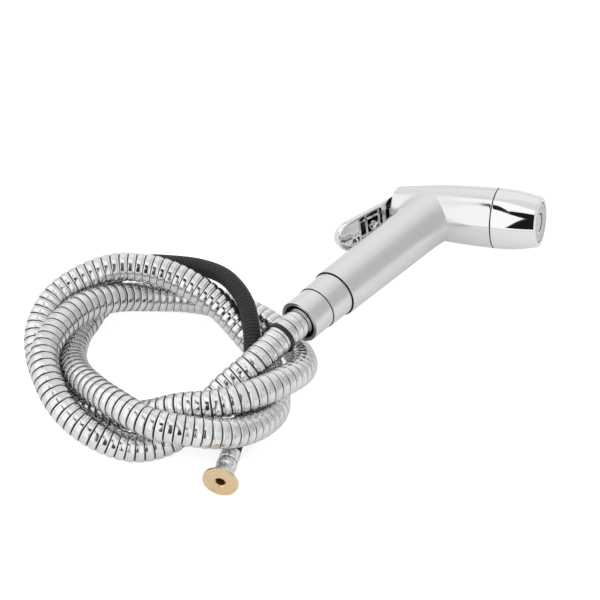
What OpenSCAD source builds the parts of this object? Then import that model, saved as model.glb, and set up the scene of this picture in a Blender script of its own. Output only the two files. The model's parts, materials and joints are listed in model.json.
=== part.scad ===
// Handheld bath sprayer: thumb-lever handset, strip-wound metal hose over a
// braided hose, and a flanged brass tail at the free end. Millimetres, +Z up.
// The handset lies on its side on the floor, with its hose coiled beside it.

/* [Handle] */
// Length of the handle, from the collar ring's seam to the head's axis
handle_len = 94; // [84:1:104]
// Radius of the handle at the collar ring
handle_base_r = 13.8; // [13.2:0.1:14.4]
// Distance from the handle's axis to its back at the head
handle_top_r = 12.9; // [12.6:0.1:13.6]
// How far the handle leans and swells forward on its way to the head
handle_lean = 2; // [0.4:0.1:2.4]
// Wall of the handle shell round its bore
handle_wall = 2.5; // [2:0.1:2.8]
// Radius of the concave flare at the handle's top
throat_r = 60; // [50:1:80]

/* [Head] */
// Angle between the handle's axis and the spray axis
head_angle = 71; // [66:1:76]
// Length of the head behind the handle's axis
head_rear_len = 23; // [21:0.5:26]
// Length of the head in front of the handle's axis, up to the nozzle cap
head_front_len = 37.4; // [35:0.2:42]
// Radius of the head at its rear end
head_rear_r = 12.5; // [12:0.1:13.5]
// Radius of the head at the nozzle cap
head_front_r = 17.3; // [17:0.1:18.5]
// How far the head's side swells past a straight taper
head_swell = 1.1; // [0.6:0.1:1.6]

/* [Nozzle] */
// Length of the nozzle cap
cap_len = 24.8; // [22:0.2:30]
// Radius of the nozzle cap at its face
cap_face_r = 14.2; // [13.8:0.1:15]
// Radius of the cap's front opening
face_opening_r = 11.2; // [10.8:0.1:11.6]
// Number of spray holes
spray_holes = 16; // [10:1:20]
// Radius of one spray hole
spray_hole_r = 0.6; // [0.4:0.1:0.8]
// Radius of the circle that the spray holes stand on
spray_ring_r = 8.4; // [7.9:0.1:8.8]
// Radius of the disc in the middle of the spray plate
insert_r = 5.6; // [4.6:0.1:6]

/* [Lever] */
// Length of the lever's straight part, from the head to its round end
lever_len = 37.5; // [33:0.5:40]
// Half of the lever's width at the head
lever_root_half = 11.5; // [10:0.1:12]
// Half of the lever's width at its round end
lever_tip_half = 8.2; // [7:0.1:9]
// Depth of the lever's side walls
lever_depth = 5.5; // [5:0.1:6.2]
// Wall of the lever
lever_wall = 1.5; // [1.2:0.1:1.8]
// Angle between the lever's back and the handle's axis
lever_rake = 12; // [11:0.5:14]
// Angle that the lever turns through when it is pressed
lever_press = 10; // [6:1:10]
// Radius of the lever's hinge pin
pin_r = 1.25; // [1:0.05:1.5]

/* [Valve] */
// Distance from the head's axis down to the valve stem
valve_drop = 28; // [27:0.5:30]
// Radius of the valve stem
stem_r = 1.8; // [1.5:0.1:2]
// Outer radius of the water tubes
tube_r = 4; // [3.6:0.1:4.2]
// Wall of the water tubes
tube_wall = 1.2; // [0.8:0.1:1.4]
// Travel of the check valve's poppet
poppet_travel = 1.4; // [1:0.1:2]

/* [Collar] */
// Length of the collar ring
ring_len = 16; // [15:0.5:18]
// Radius of the collar ring at the sleeve
ring_r = 12.6; // [12.5:0.1:13]
// How far the handle's foot stands out past the collar ring
collar_step = 0.9; // [0:0.1:0.9]
// Length of the hose sleeve
sleeve_len = 14.7; // [14:0.1:18]
// Radius of the hose sleeve
sleeve_r = 12.1; // [11.8:0.1:12.4]
// Wall of the hose sleeve at its mouth
sleeve_wall = 1.5; // [1.2:0.1:1.7]

/* [Hose] */
// Radius of the metal hose over its ribs
metal_r = 8; // [7.8:0.1:8]
// Depth of the groove between two ribs
rib_depth = 0.9; // [0.5:0.1:1]
// Number of ribs along the metal hose
rib_count = 195; // [150:5:200]
// Radius of the metal hose's bore
metal_bore_r = 6.2; // [6:0.1:6.4]
// Radius of the braided hose
braid_r = 4.7; // [4.2:0.1:4.8]

/* [End fitting] */
// Radius of the crimp ferrule on the braided hose
ferrule_r = 5.3; // [5.2:0.1:5.6]
// Radius of the round collar at the tail
end_collar_r = 6; // [5.8:0.1:6.6]
// Radius of the brass tail's flange
flange_r = 9.6; // [9:0.1:9.8]
// Thickness of the brass tail's flange
flange_t = 1.8; // [1.4:0.1:2.4]
// Radius of the brass tail's bore
tail_bore_r = 2.5; // [2:0.1:3]

/* [Hidden] */
$fn = 96;

// Clearances that the fits are made from
seam = 0.4;          // open line between two covers
fit = 0.1;           // pieces that sit still in each other
running = 0.06;      // radial clearance of a pin or stem that moves
swing_gap = 0.5;     // room round the lever's root
past = 1;            // how far a cutter runs past the face that it opens

// How the handset lies: the middle of the sleeve's mouth, then its turn
mouth_at = [-65.4, -54.14, 28.78];
heading = 51.5;
nose_down = 5.8;
roll = 12.4;

// Heights along the handle's axis, counted from the sleeve's mouth
ring_seam_z = sleeve_len;
handle_seam_z = sleeve_len + ring_len;
head_z = handle_seam_z + handle_len;
valve_z = head_z - valve_drop;

// The bore of the handle and the threaded spigot under it
body_bore_r = handle_top_r - handle_wall;
spigot_len = 8;
spigot_wall = 1.2;
spigot_r = body_bore_r + spigot_wall;
spigot_z = handle_seam_z - spigot_len;
valve_half = 12;
bore_top_z = valve_z + valve_half;
throat_shift = 4.2;
throat_rim_r = 13.2;
throat_rise = 14;
throat_top = 11.3;
elbow_extra = 0.5;

// The head: its barrel, front socket and rear slot for the lever
barrel_steps = 10;
edge_r = 0.8;
socket_depth = 7.4;
socket_r = head_front_r - 3.3;
funnel_start = 6;
funnel_r = 7.5;
slot_half = 5;
tongue_half = slot_half - swing_gap;
pin_back = head_rear_len - 6;
pin_low = 5;
hub_r = 3.4;
pin_half = 11.4;

// The nozzle, counted along the spray axis from the handle's axis
cap_start = head_front_len + seam;
cap_end = cap_start + cap_len;
cap_swell = 0.9;
cap_edge_r = 1.2;
neck_r = socket_r - 0.8;
neck_wall = 1.6;
neck_end = cap_start + 9;
plate_lip = 2.2;
plate_flange_t = 1.9;
plate_flange_r = face_opening_r + 0.8;
plate_skirt = 2.6;
plate_recess = 0.4;
plate_back = cap_end - plate_lip - plate_flange_t;
diffuser_t = 1.5;
o_ring_r = 0.5;
o_ring_s = cap_start + 5.4;

// The lever, counted down its back from the middle of the head's rear end
lever_crown = 1.4;
crown_r = 26;
rib_t = 1.2;
lever_ribs = [9.4, 15, 24, 29];
boss_r = 3;
stem_tip_x = -18.4;
stem_gap = 0.3;

// The valve, across the handle: the seat faces the front
seat_x = 0.8;
washer_t = 1.05;
poppet_r = 3.6;
stem_head_t = 1.4;
chamber_r = 4.4;
chamber_end_x = body_bore_r - 1.1;
outlet_chamber_x = -6;
gland_face_x = -handle_top_r - 0.4;
gland_flange_t = 2.2;
gland_hex_r = 5.6;
passage_r = 1.7;
passage_x = 2.8;
tube_socket = 5;
wire_r = 0.35;
spring_r = 2.6;
spring_turns = 3;

// The check valve in the handle's foot
check_z = spigot_z + 1.3;
check_len = 20;
check_seat_t = 2;
check_chamber_r = 5.4;
check_chamber_len = 10;
check_seal_t = 0.95;
check_disc_t = 1.4;

// The hose's union in the collar ring
washer_len = 1.4;
nipple_flange_t = 2.2;
nipple_flange_r = 8.4;
shoulder_t = 2.4;
nipple_z = check_z - washer_len - nipple_flange_t;
inner_ferrule_r = 6.4;
shoulder_hole_r = inner_ferrule_r + 0.6;
barb_len = 10;
barb_wall = 0.9;
metal_end_z = 8;

// Places on the handle's axis and along the hose's free end
function turn_z(a, v) = [v[0] * cos(a) - v[1] * sin(a), v[0] * sin(a) + v[1] * cos(a), v[2]];
function turn_y(a, v) = [v[0] * cos(a) + v[2] * sin(a), v[1], v[2] * cos(a) - v[0] * sin(a)];
hand_axis = turn_z(heading, turn_y(90 + nose_down, [0, 0, 1]));
function on_axis(z) = mouth_at + z * hand_axis;

function barrel_share(s) = (s + head_rear_len) / (head_rear_len + head_front_len);
function barrel_r(s) = head_rear_r + (head_front_r - head_rear_r) * barrel_share(s)
    + head_swell * sin(180 * barrel_share(s));
function cap_r(v) = head_front_r + (cap_face_r - head_front_r) * v + cap_swell * sin(180 * v);

module in_hand() {
    translate(mouth_at)
        rotate([0, 90 + nose_down, heading])
            rotate([0, 0, -90 - roll])
                children();
}

module on_spray_axis() {
    translate([0, 0, head_z])
        rotate([0, head_angle, 0])
            children();
}

// The pin's line, in the frame of the spray axis
module at_pin() {
    translate([pin_low, 0, -pin_back])
        rotate([90, 0, 0])
            children();
}

// Across the handle at the valve, with +Z towards the front
module across_valve(x = 0) {
    translate([x, 0, valve_z])
        rotate([0, 90, 0])
            children();
}

module ring(r_out, r_in, h) {
    difference() {
        cylinder(r = r_out, h = h);
        translate([0, 0, -past])
            cylinder(r = r_in, h = h + 2 * past);
    }
}

module barrel() {
    steps = [for (i = [0:barrel_steps]) -head_rear_len + edge_r
        + i * (head_rear_len + head_front_len - edge_r) / barrel_steps];
    rotate_extrude()
        polygon(concat(
            [[0, -head_rear_len], [head_rear_r - edge_r, -head_rear_len]],
            [for (s = steps) [barrel_r(s), s]],
            [[0, head_front_len]]));
}

// The handle's flared end, which the head grows out of
module throat() {
    low_z = -throat_top - throat_rise;
    arc = asin(throat_rise / throat_r);
    foot_r = throat_rim_r - throat_r * (1 - cos(arc));
    translate([throat_shift, 0, head_z])
        rotate_extrude()
            polygon(concat(
                [[0, low_z]],
                [for (i = [0:8]) [
                    foot_r + throat_r * (1 - cos(arc * i / 8)),
                    low_z + throat_r * sin(arc * i / 8)]],
                [[throat_rim_r, -2], [0, -2]]));
}

module lever_slot() {
    half = hub_r + swing_gap;
    reach = head_rear_len + past - pin_back;
    translate([pin_low, 0, -pin_back])
        rotate([90, 0, 0]) {
            translate([0, 0, -slot_half + 0.1])
                cylinder(r = half, h = 2 * slot_half - 0.2);
            translate([0, 0, -slot_half])
                linear_extrude(2 * slot_half)
                    polygon([
                        [-half, 0.5],
                        [half, 0.5],
                        [half + reach * sin(lever_press + 2), -reach],
                        [-half, -reach]]);
        }
}

// The handle leans forward, so its back stays straight and its front swells
module handle_cone() {
    foot = 0.7;
    translate([0, 0, handle_seam_z])
        cylinder(r = handle_base_r - 0.2, h = foot);
    translate([0, 0, handle_seam_z + foot / 2])
        rotate([0, atan(handle_lean / handle_len), 0])
            cylinder(r1 = handle_base_r, r2 = handle_top_r + handle_lean, h = handle_len - foot);
}

module handle_shell() {
    color("gainsboro")
    in_hand()
        difference() {
            union() {
                translate([0, 0, spigot_z])
                    cylinder(r = spigot_r, h = spigot_len + past);
                handle_cone();
                on_spray_axis()
                    barrel();
                throat();
            }
            translate([0, 0, spigot_z - past])
                cylinder(r = body_bore_r, h = bore_top_z - spigot_z + past);
            translate([0, 0, bore_top_z - past])
                cylinder(r = tube_r + fit, h = valve_drop - valve_half + past);
            translate([0, 0, head_z])
                sphere(r = tube_r + elbow_extra + 2 * fit);
            on_spray_axis() {
                cylinder(r = tube_r + fit, h = head_front_len);
                translate([0, 0, funnel_start])
                    cylinder(r1 = funnel_r, r2 = socket_r - 1,
                        h = head_front_len - socket_depth - funnel_start + 0.01);
                translate([0, 0, head_front_len - socket_depth])
                    cylinder(r = socket_r, h = socket_depth + past);
                at_pin()
                    cylinder(r = pin_r, h = 4 * pin_half, center = true);
                lever_slot();
            }
            across_valve(-handle_base_r - 2)
                cylinder(r = gland_hex_r + fit, h = handle_base_r + 2 - body_bore_r / 2);
        }
}

module nozzle_cap() {
    inner_r = plate_flange_r + fit;
    color("silver")
    in_hand()
        on_spray_axis()
            translate([0, 0, cap_start])
                difference() {
                    rotate_extrude()
                        polygon(concat(
                            [[0, 0]],
                            [for (v = [0:0.125:1]) [
                                cap_r(v * (1 - cap_edge_r / cap_len)),
                                v * (cap_len - cap_edge_r)]],
                            [for (a = [30, 60, 90]) [
                                cap_r(1) - cap_edge_r * (1 - cos(a)),
                                cap_len - cap_edge_r * (1 - sin(a))]],
                            [[0, cap_len]]));
                    translate([0, 0, -past])
                        cylinder(r = neck_r + fit, h = neck_end - cap_start + 0.5 + past);
                    translate([0, 0, -past])
                        cylinder(r = inner_r, h = cap_len - plate_lip + past);
                    cylinder(r = face_opening_r, h = cap_len + past);
                }
}

module spray_plate() {
    boss_r = face_opening_r - fit;
    color("gainsboro")
    in_hand()
        on_spray_axis()
            translate([0, 0, plate_back])
                difference() {
                    union() {
                        cylinder(r = plate_flange_r, h = plate_flange_t);
                        cylinder(r = boss_r, h = cap_end - plate_recess - plate_back);
                        translate([0, 0, -plate_skirt])
                            ring(plate_flange_r, plate_flange_r - 1.2, plate_skirt);
                    }
                    for (i = [0:spray_holes - 1])
                        rotate([0, 0, i * 360 / spray_holes])
                            translate([spray_ring_r, 0, -past])
                                cylinder(r = spray_hole_r, h = 3 * plate_flange_t + 2 * past, $fn = 24);
                    translate([0, 0, plate_flange_t])
                        cylinder(r = insert_r + fit, h = 3 * plate_flange_t);
                    translate([0, 0, -past])
                        cylinder(r = insert_r / 2 + fit, h = 3 * plate_flange_t);
                }
}

module jet_insert() {
    top = cap_end - plate_recess - 0.5;
    base = plate_back + plate_flange_t;
    color("whitesmoke")
    in_hand()
        on_spray_axis()
            difference() {
                union() {
                    translate([0, 0, base])
                        cylinder(r = insert_r, h = top - base);
                    translate([0, 0, plate_back - 0.6])
                        cylinder(r = insert_r / 2, h = plate_flange_t + 0.6);
                }
                translate([0, 0, top - 0.5])
                    rotate([0, 0, 90])
                        rotate_extrude(angle = 170)
                            translate([insert_r * 0.76, 0])
                                square([0.8, 2]);
            }
}

module flow_diffuser() {
    color("white")
    in_hand()
        on_spray_axis()
            translate([0, 0, plate_back - plate_skirt - diffuser_t])
                difference() {
                    cylinder(r = plate_flange_r, h = diffuser_t);
                    for (i = [0:11])
                        rotate([0, 0, i * 30])
                            translate([spray_ring_r - 0.6, 0, -past])
                                cylinder(r = 1, h = diffuser_t + 2 * past, $fn = 24);
                    for (i = [0:5])
                        rotate([0, 0, i * 60])
                            translate([spray_ring_r / 2, 0, -past])
                                cylinder(r = 1, h = diffuser_t + 2 * past, $fn = 24);
                }
}

module spray_chamber() {
    back = head_front_len - socket_depth;
    disc_t = socket_depth - 1;
    tube_stop = back - 4;
    color("ivory")
    in_hand()
        on_spray_axis()
            difference() {
                union() {
                    translate([0, 0, tube_stop])
                        cylinder(r = tube_r + 2, h = 5);
                    translate([0, 0, back])
                        cylinder(r = socket_r - fit, h = disc_t);
                    translate([0, 0, back])
                        cylinder(r = neck_r, h = neck_end - back);
                }
                translate([0, 0, tube_stop - past])
                    cylinder(r = tube_r + fit, h = 4 + past);
                translate([0, 0, tube_stop])
                    cylinder(r = tube_r - tube_wall, h = neck_end - tube_stop + past);
                translate([0, 0, back + disc_t - 2])
                    cylinder(r = neck_r - neck_wall, h = neck_end - back);
                translate([0, 0, o_ring_s - o_ring_r - 0.1])
                    ring(neck_r + past, neck_r + fit - 2 * o_ring_r - 0.05, 2 * o_ring_r + 0.2);
            }
}

module cap_o_ring() {
    color("black")
    in_hand()
        on_spray_axis()
            translate([0, 0, o_ring_s])
                rotate_extrude()
                    translate([neck_r + fit - o_ring_r, 0])
                        circle(r = o_ring_r - 0.02, $fn = 32);
}

module outlet_tube() {
    start = valve_z + valve_half - tube_socket + fit;
    stop = head_front_len - socket_depth - fit;
    color("whitesmoke")
    in_hand()
        difference() {
            union() {
                translate([0, 0, start])
                    cylinder(r = tube_r, h = head_z - start);
                translate([0, 0, head_z])
                    sphere(r = tube_r + elbow_extra);
                on_spray_axis()
                    cylinder(r = tube_r, h = stop);
            }
            translate([0, 0, start - past])
                cylinder(r = tube_r - tube_wall, h = head_z - start + past);
            translate([0, 0, head_z])
                sphere(r = tube_r - tube_wall + elbow_extra / 2);
            on_spray_axis()
                cylinder(r = tube_r - tube_wall, h = stop + past);
        }
}

module valve_body() {
    r = body_bore_r - fit;
    color("khaki")
    in_hand()
        difference() {
            translate([0, 0, valve_z - valve_half])
                cylinder(r = r, h = 2 * valve_half - 0.05);
            across_valve(-r - past)
                cylinder(r = chamber_r, h = r + past + outlet_chamber_x);
            across_valve(outlet_chamber_x - 0.01)
                cylinder(r = poppet_r, h = seat_x - 1.8 - outlet_chamber_x);
            across_valve(outlet_chamber_x)
                cylinder(r = stem_r + 0.8, h = seat_x - outlet_chamber_x + past);
            across_valve(seat_x)
                cylinder(r = chamber_r, h = chamber_end_x - seat_x);
            translate([passage_x, 0, valve_z - valve_half + tube_socket - past])
                cylinder(r = passage_r, h = valve_half - tube_socket + past);
            translate([-passage_x, 0, valve_z])
                cylinder(r = passage_r, h = valve_half - tube_socket + past);
            translate([0, 0, valve_z - valve_half - past])
                cylinder(r = tube_r + fit, h = tube_socket + past);
            translate([0, 0, valve_z + valve_half - tube_socket])
                cylinder(r = tube_r + fit, h = tube_socket + past);
        }
}

module gland_nut() {
    inner_x = outlet_chamber_x + fit;
    color("goldenrod")
    in_hand()
        difference() {
            union() {
                across_valve(gland_face_x)
                    cylinder(r = gland_hex_r, h = gland_flange_t, $fn = 6);
                across_valve(gland_face_x)
                    cylinder(r = chamber_r - fit, h = -gland_face_x + outlet_chamber_x - fit);
            }
            across_valve(gland_face_x - past)
                cylinder(r = stem_r + running, h = -gland_face_x + 2 * past);
            across_valve(outlet_chamber_x - fit - 2 * o_ring_r - 0.1)
                cylinder(r = stem_r + running + 2 * o_ring_r, h = 2 * o_ring_r + past);
        }
}

module gland_o_ring() {
    color("black")
    in_hand()
        across_valve(outlet_chamber_x - fit - o_ring_r - 0.05)
            rotate_extrude()
                translate([stem_r + running + o_ring_r - 0.01, 0])
                    circle(r = o_ring_r - 0.02, $fn = 32);
}

module valve_stem() {
    head_x = seat_x + 0.05 + washer_t;
    color("lightsteelblue")
    in_hand()
        union() {
            across_valve(stem_tip_x + stem_r)
                sphere(r = stem_r);
            across_valve(stem_tip_x + stem_r)
                cylinder(r = stem_r, h = head_x - stem_tip_x - stem_r + 0.5);
            across_valve(head_x)
                cylinder(r = poppet_r, h = stem_head_t);
        }
}

module seat_washer() {
    color("black")
    in_hand()
        across_valve(seat_x + 0.05)
            ring(poppet_r, stem_r + 0.02, washer_t);
}

module valve_spring() {
    start_x = seat_x + 0.05 + washer_t + stem_head_t + wire_r + 0.05;
    end_x = chamber_end_x - wire_r - 0.05;
    color("darkgray")
    in_hand()
        across_valve(start_x)
            coil_spring(spring_r, wire_r, end_x - start_x, spring_turns);
}

module inlet_tube() {
    start = check_z + check_len - tube_socket + fit;
    stop = valve_z - valve_half + tube_socket - fit;
    color("whitesmoke")
    in_hand()
        translate([0, 0, start])
            ring(tube_r, tube_r - tube_wall, stop - start);
}

module check_valve_housing() {
    color("ivory")
    in_hand()
        translate([0, 0, check_z])
            difference() {
                cylinder(r = body_bore_r - fit, h = check_len);
                translate([0, 0, -past])
                    cylinder(r = 3.2, h = check_seat_t + past + 0.01);
                translate([0, 0, check_seat_t])
                    cylinder(r = check_chamber_r, h = check_chamber_len);
                translate([0, 0, check_seat_t])
                    cylinder(r = tube_r - tube_wall, h = check_len);
                translate([0, 0, check_len - tube_socket])
                    cylinder(r = tube_r + fit, h = tube_socket + past);
            }
}

module check_poppet() {
    base = check_z + check_seat_t + 0.05;
    stem_top = check_z + check_seat_t + check_chamber_len - poppet_travel - 0.3;
    color("white")
    in_hand()
        union() {
            translate([0, 0, base])
                cylinder(r = 1.9, h = check_seal_t + 0.5);
            translate([0, 0, base + check_seal_t])
                cylinder(r = 4.4, h = check_disc_t);
            translate([0, 0, base + check_seal_t])
                cylinder(r = 1.6, h = stem_top - base - check_seal_t);
        }
}

module poppet_seal() {
    color("black")
    in_hand()
        translate([0, 0, check_z + check_seat_t + 0.05])
            ring(4.6, 1.92, check_seal_t);
}

module check_spring() {
    start = check_z + check_seat_t + check_seal_t + check_disc_t + wire_r + 0.1;
    stop = check_z + check_seat_t + check_chamber_len - wire_r - 0.05;
    color("darkgray")
    in_hand()
        translate([0, 0, start])
            coil_spring(3.2, wire_r, stop - start, spring_turns);
}

// The lever's own frame: +Z down its back from the head, +X away from the handle
module on_lever() {
    on_spray_axis()
        translate([0, 0, -head_rear_len])
            rotate([0, 180 + lever_rake - head_angle, 0])
                children();
}

module lever_outline(inset = 0) {
    tip = lever_tip_half - inset;
    root = lever_root_half - inset;
    polygon([[-12, -root], [-12, root], [0, root], [lever_len, tip], [lever_len, -tip], [0, -root]]);
    translate([lever_len, 0])
        circle(r = tip);
}

module lever_block(inset, top, bottom) {
    intersection() {
        rotate([0, -90, 0])
            translate([0, 0, -top])
                linear_extrude(top + bottom)
                    lever_outline(inset);
        translate([top - crown_r, 0, -2 * lever_len])
            cylinder(r = crown_r, h = 4 * lever_len);
    }
}

module lever_shell() {
    difference() {
        on_lever()
            difference() {
                lever_block(0, lever_crown, lever_depth);
                difference() {
                    lever_block(lever_wall, lever_crown - lever_wall, lever_depth + past);
                    for (z = lever_ribs)
                        translate([-lever_depth + 0.6, -lever_root_half, z])
                            cube([2 * lever_depth, 2 * lever_root_half, rib_t]);
                    for (y = [-5, 5])
                        translate([-lever_depth + 1.6, y - rib_t / 2, 0])
                            cube([2 * lever_depth, rib_t, max(lever_ribs)]);
                }
            }
        // Room for the head's rear end, at rest and pressed
        for (a = [0, lever_press / 2, lever_press + 1])
            on_spray_axis()
                translate([pin_low, 0, -pin_back])
                    rotate([0, a, 0])
                        translate([-30, -20, -(head_rear_len - pin_back) - swing_gap])
                            cube([60, 40, 40]);
    }
}

module lever_tongue() {
    reach = head_rear_len - pin_back + 4;
    on_spray_axis()
        at_pin()
            translate([0, 0, -tongue_half])
                cylinder(r = hub_r, h = 2 * tongue_half);
    intersection() {
        on_spray_axis()
            translate([pin_low - hub_r, -tongue_half, -pin_back - reach])
                cube([2 * hub_r, 2 * tongue_half, reach]);
        on_lever()
            translate([lever_crown - crown_r, 0, 0])
                cylinder(r = crown_r - 0.4, h = 4 * lever_len, center = true);
    }
}

module lever_boss() {
    boss_x = stem_tip_x - stem_gap;
    intersection() {
        across_valve(boss_x - 10)
            cylinder(r = boss_r, h = 10);
        on_lever()
            lever_block(0.2, lever_crown - 0.2, 4 * lever_depth);
    }
}

module lever() {
    color("lightgray")
    in_hand()
        difference() {
            union() {
                lever_shell();
                lever_tongue();
                lever_boss();
            }
            on_spray_axis()
                at_pin()
                    cylinder(r = pin_r + running, h = 4 * slot_half, center = true);
        }
}

module lever_pin() {
    color("slategray")
    in_hand()
        on_spray_axis()
            at_pin()
                cylinder(r = pin_r - 0.01, h = 2 * pin_half, center = true);
}

module collar_ring() {
    z0 = ring_seam_z + seam;
    z1 = handle_seam_z - seam;
    shoulder_z = nipple_z - shoulder_t;
    color("gainsboro")
    in_hand()
        difference() {
            translate([0, 0, z0])
                cylinder(r1 = ring_r, r2 = handle_base_r - collar_step, h = z1 - z0);
            translate([0, 0, z0 - past])
                cylinder(r = sleeve_r - sleeve_wall + 0.4, h = shoulder_z - z0 + past);
            translate([0, 0, z0])
                cylinder(r = shoulder_hole_r, h = ring_len);
            translate([0, 0, nipple_z - fit])
                cylinder(r = spigot_r + fit, h = ring_len);
        }
}

module hose_sleeve() {
    bore_r = sleeve_r - sleeve_wall;
    color("gainsboro")
    in_hand()
        difference() {
            union() {
                cylinder(r = sleeve_r, h = sleeve_len);
                cylinder(r = bore_r + 0.3, h = nipple_z - shoulder_t - seam);
            }
            translate([0, 0, -past])
                cylinder(r = bore_r, h = metal_end_z + past);
            cylinder(r = metal_r + 0.6, h = 2 * sleeve_len);
        }
}

module sleeve_grommet() {
    bore_r = sleeve_r - sleeve_wall - fit;
    color("black")
    in_hand()
        difference() {
            translate([0, 0, -0.4])
                cylinder(r = bore_r, h = metal_end_z - 0.2 + 0.4);
            translate([0, 0, -past])
                cylinder(r = metal_r + 0.25, h = 2 * metal_end_z);
            translate([0, 0, -0.5])
                cylinder(r1 = bore_r - 0.6, r2 = metal_r + 0.25, h = 4.5);
        }
}

module hose_nipple() {
    color("goldenrod")
    in_hand()
        difference() {
            union() {
                translate([0, 0, nipple_z - barb_len])
                    cylinder(r = barb_r, h = barb_len + 0.5);
                translate([0, 0, nipple_z])
                    cylinder(r = nipple_flange_r, h = nipple_flange_t);
            }
            translate([0, 0, nipple_z - barb_len - past])
                cylinder(r = barb_r - barb_wall, h = barb_len + nipple_flange_t + 2 * past);
        }
}

module nipple_washer() {
    color("black")
    in_hand()
        translate([0, 0, nipple_z + nipple_flange_t])
            ring(nipple_flange_r, 3.2, washer_len);
}

module inner_ferrule() {
    color("silver")
    in_hand()
        translate([0, 0, metal_end_z + 0.3])
            ring(inner_ferrule_r, braid_r + fit, nipple_z - metal_end_z - 0.4);
}

// The hose's route, from the union in the handle to the crimped end. Every
// point is the middle of the hose; the first ones lie on the handle's axis.
end_at = [-101, -128, 8.2];
end_heading = 256;
end_rise = 4.4;
hose_points = [
    [-89, -84, 29], [-105, -96, 22], [-119, -108, 13], [-135, -120, 8.6],
    [-153, -125, 9.2], [-172, -121, 15], [-188, -109, 20], [-198, -92, 24],
    [-201, -73, 26], [-194, -55, 27], [-182, -40, 26], [-166, -29, 21],
    [-148, -21, 13], [-129, -18, 9], [-111, -21, 8.2], [-94, -28, 8.2],
    [-78, -41, 8.1], [-66, -59, 9], [-64, -78, 18], [-74, -94, 26],
    [-89, -106, 30], [-108, -113, 30], [-128, -113, 27], [-146, -112, 20],
    [-165, -106, 13], [-182, -98, 8.5], [-197, -84, 8.5], [-205, -66, 10],
    [-207, -47, 15], [-199, -30, 22], [-183, -20, 28], [-164, -15, 31],
    [-144, -17, 30], [-125, -24, 26], [-109, -34, 20], [-96, -47, 14],
    [-84, -63, 9], [-79, -83, 8.2], [-79, -102, 11], [-90, -119, 18],
    [-105, -129, 25], [-124, -131, 30], [-143, -127, 32], [-160, -115, 32],
    [-173, -101, 28], [-183, -85, 22], [-188, -66, 14], [-187, -47, 10],
    [-182, -34, 9], [-177, -21, 9]
];
tail_points = [
    [-172, -8, 9], [-165, 2, 9], [-152, 6, 12], [-136, -1, 19],
    [-119, -8, 23], [-105, -20, 27], [-95, -38, 28], [-91, -58, 25],
    [-91, -79, 16], [-94, -99, 9.5]
];
tail_len = 220;
tail_barb = 2.5;
metal_sides = 8;
braid_sides = 8;
braid_rings = 80;
bore_rings = 128;
braid_wall = 1.7;
barb_r = braid_r - braid_wall - 0.35;
ferrule_len = 13;
hose_in_ferrule = 8;
end_collar_len = 7;

end_dir = turn_z(end_heading, turn_y(90 - end_rise, [0, 0, 1]));
route = smooth(concat(
    [on_axis(nipple_z + 12), on_axis(nipple_z - 0.1), on_axis(metal_end_z), on_axis(-3), on_axis(-14)],
    hose_points,
    tail_points,
    [end_at - 4 * end_dir, end_at + hose_in_ferrule * end_dir, end_at + 20 * end_dir]));
function step_after(i) = i + 1 < len(route) ? norm(route[i + 1] - route[i]) : 0;
route_s = [for (i = 0, s = 0; i < len(route); s = s + step_after(i), i = i + 1) s];
route_len = route_s[len(route_s) - 1];
route_tables = [for (k = [0:2]) [for (i = [0:len(route) - 1]) [route_s[i], route[i][k]]]];
metal_start_s = nipple_z - 0.1 - metal_end_z;
metal_stop_s = route_len - tail_len;
metal_len = metal_stop_s - metal_start_s;
rib_pitch = metal_len / rib_count;

// Smooth curve through all points but the first and the last
function bend(a, b, c, d, t) = 0.5 * (2 * b + (c - a) * t + (2 * a - 5 * b + 4 * c - d) * t * t
    + (3 * b - a - 3 * c + d) * t * t * t);
function smooth(p) = concat(
    [for (i = [1:len(p) - 3], j = [0:7]) bend(p[i - 1], p[i], p[i + 1], p[i + 2], j / 8)],
    [p[len(p) - 2]]);
function route_at(s) = [for (k = [0:2]) lookup(s, route_tables[k])];
function unit(v) = v / norm(v);
function route_dir(s) = s < 3 ? -hand_axis
    : s > route_len - 3 ? end_dir
    : unit(route_at(s + 2) - route_at(s - 2));
function tube_ring(s, r, sides) = let (
        dir = route_dir(s),
        side = unit(cross(dir, [0, 0, 1])),
        up = cross(side, dir))
    [for (k = [0:sides - 1]) route_at(s) + r * (cos(360 * k / sides) * side + sin(360 * k / sides) * up)];

// Triangles of one wall between rings; the bore's wall is turned inside out
function wall(rings, sides, first, inward) = [for (i = [0:rings - 2], k = [0:sides - 1], h = [0, 1])
    let (
        a = first + i * sides + k,
        b = first + i * sides + (k + 1) % sides,
        c = b + sides,
        d = a + sides)
    h == 0 ? (inward ? [a, c, b] : [a, b, c]) : (inward ? [a, d, c] : [a, c, d])];
// Triangles of the flat ring between the outer wall and the bore's wall
function rim(outer, inner, sides, at_end) = [for (k = [0:sides - 1], h = [0, 1])
    let (
        a = outer + k,
        b = outer + (k + 1) % sides,
        c = inner + (k + 1) % sides,
        d = inner + k)
    h == 0 ? (at_end ? [a, c, d] : [a, d, c]) : (at_end ? [a, b, c] : [a, c, b])];

// One tube along the route: outer rings as [distance, radius], and its bore
module routed_tube(outer, bore, sides) {
    n = len(outer);
    m = len(bore);
    inner = n * sides;
    polyhedron(
        points = concat(
            [for (o = outer) each tube_ring(o[0], o[1], sides)],
            [for (o = bore) each tube_ring(o[0], o[1], sides)]),
        faces = concat(
            wall(n, sides, 0, false),
            wall(m, sides, inner, true),
            rim(0, inner, sides, false),
            rim((n - 1) * sides, inner + (m - 1) * sides, sides, true)),
        convexity = 20);
}

module at_route(s) {
    dir = route_dir(s);
    translate(route_at(s))
        rotate([0, acos(dir[2]), atan2(dir[1], dir[0])])
            children();
}

module on_end() {
    translate(end_at)
        rotate([0, 90 - end_rise, end_heading])
            children();
}

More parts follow.
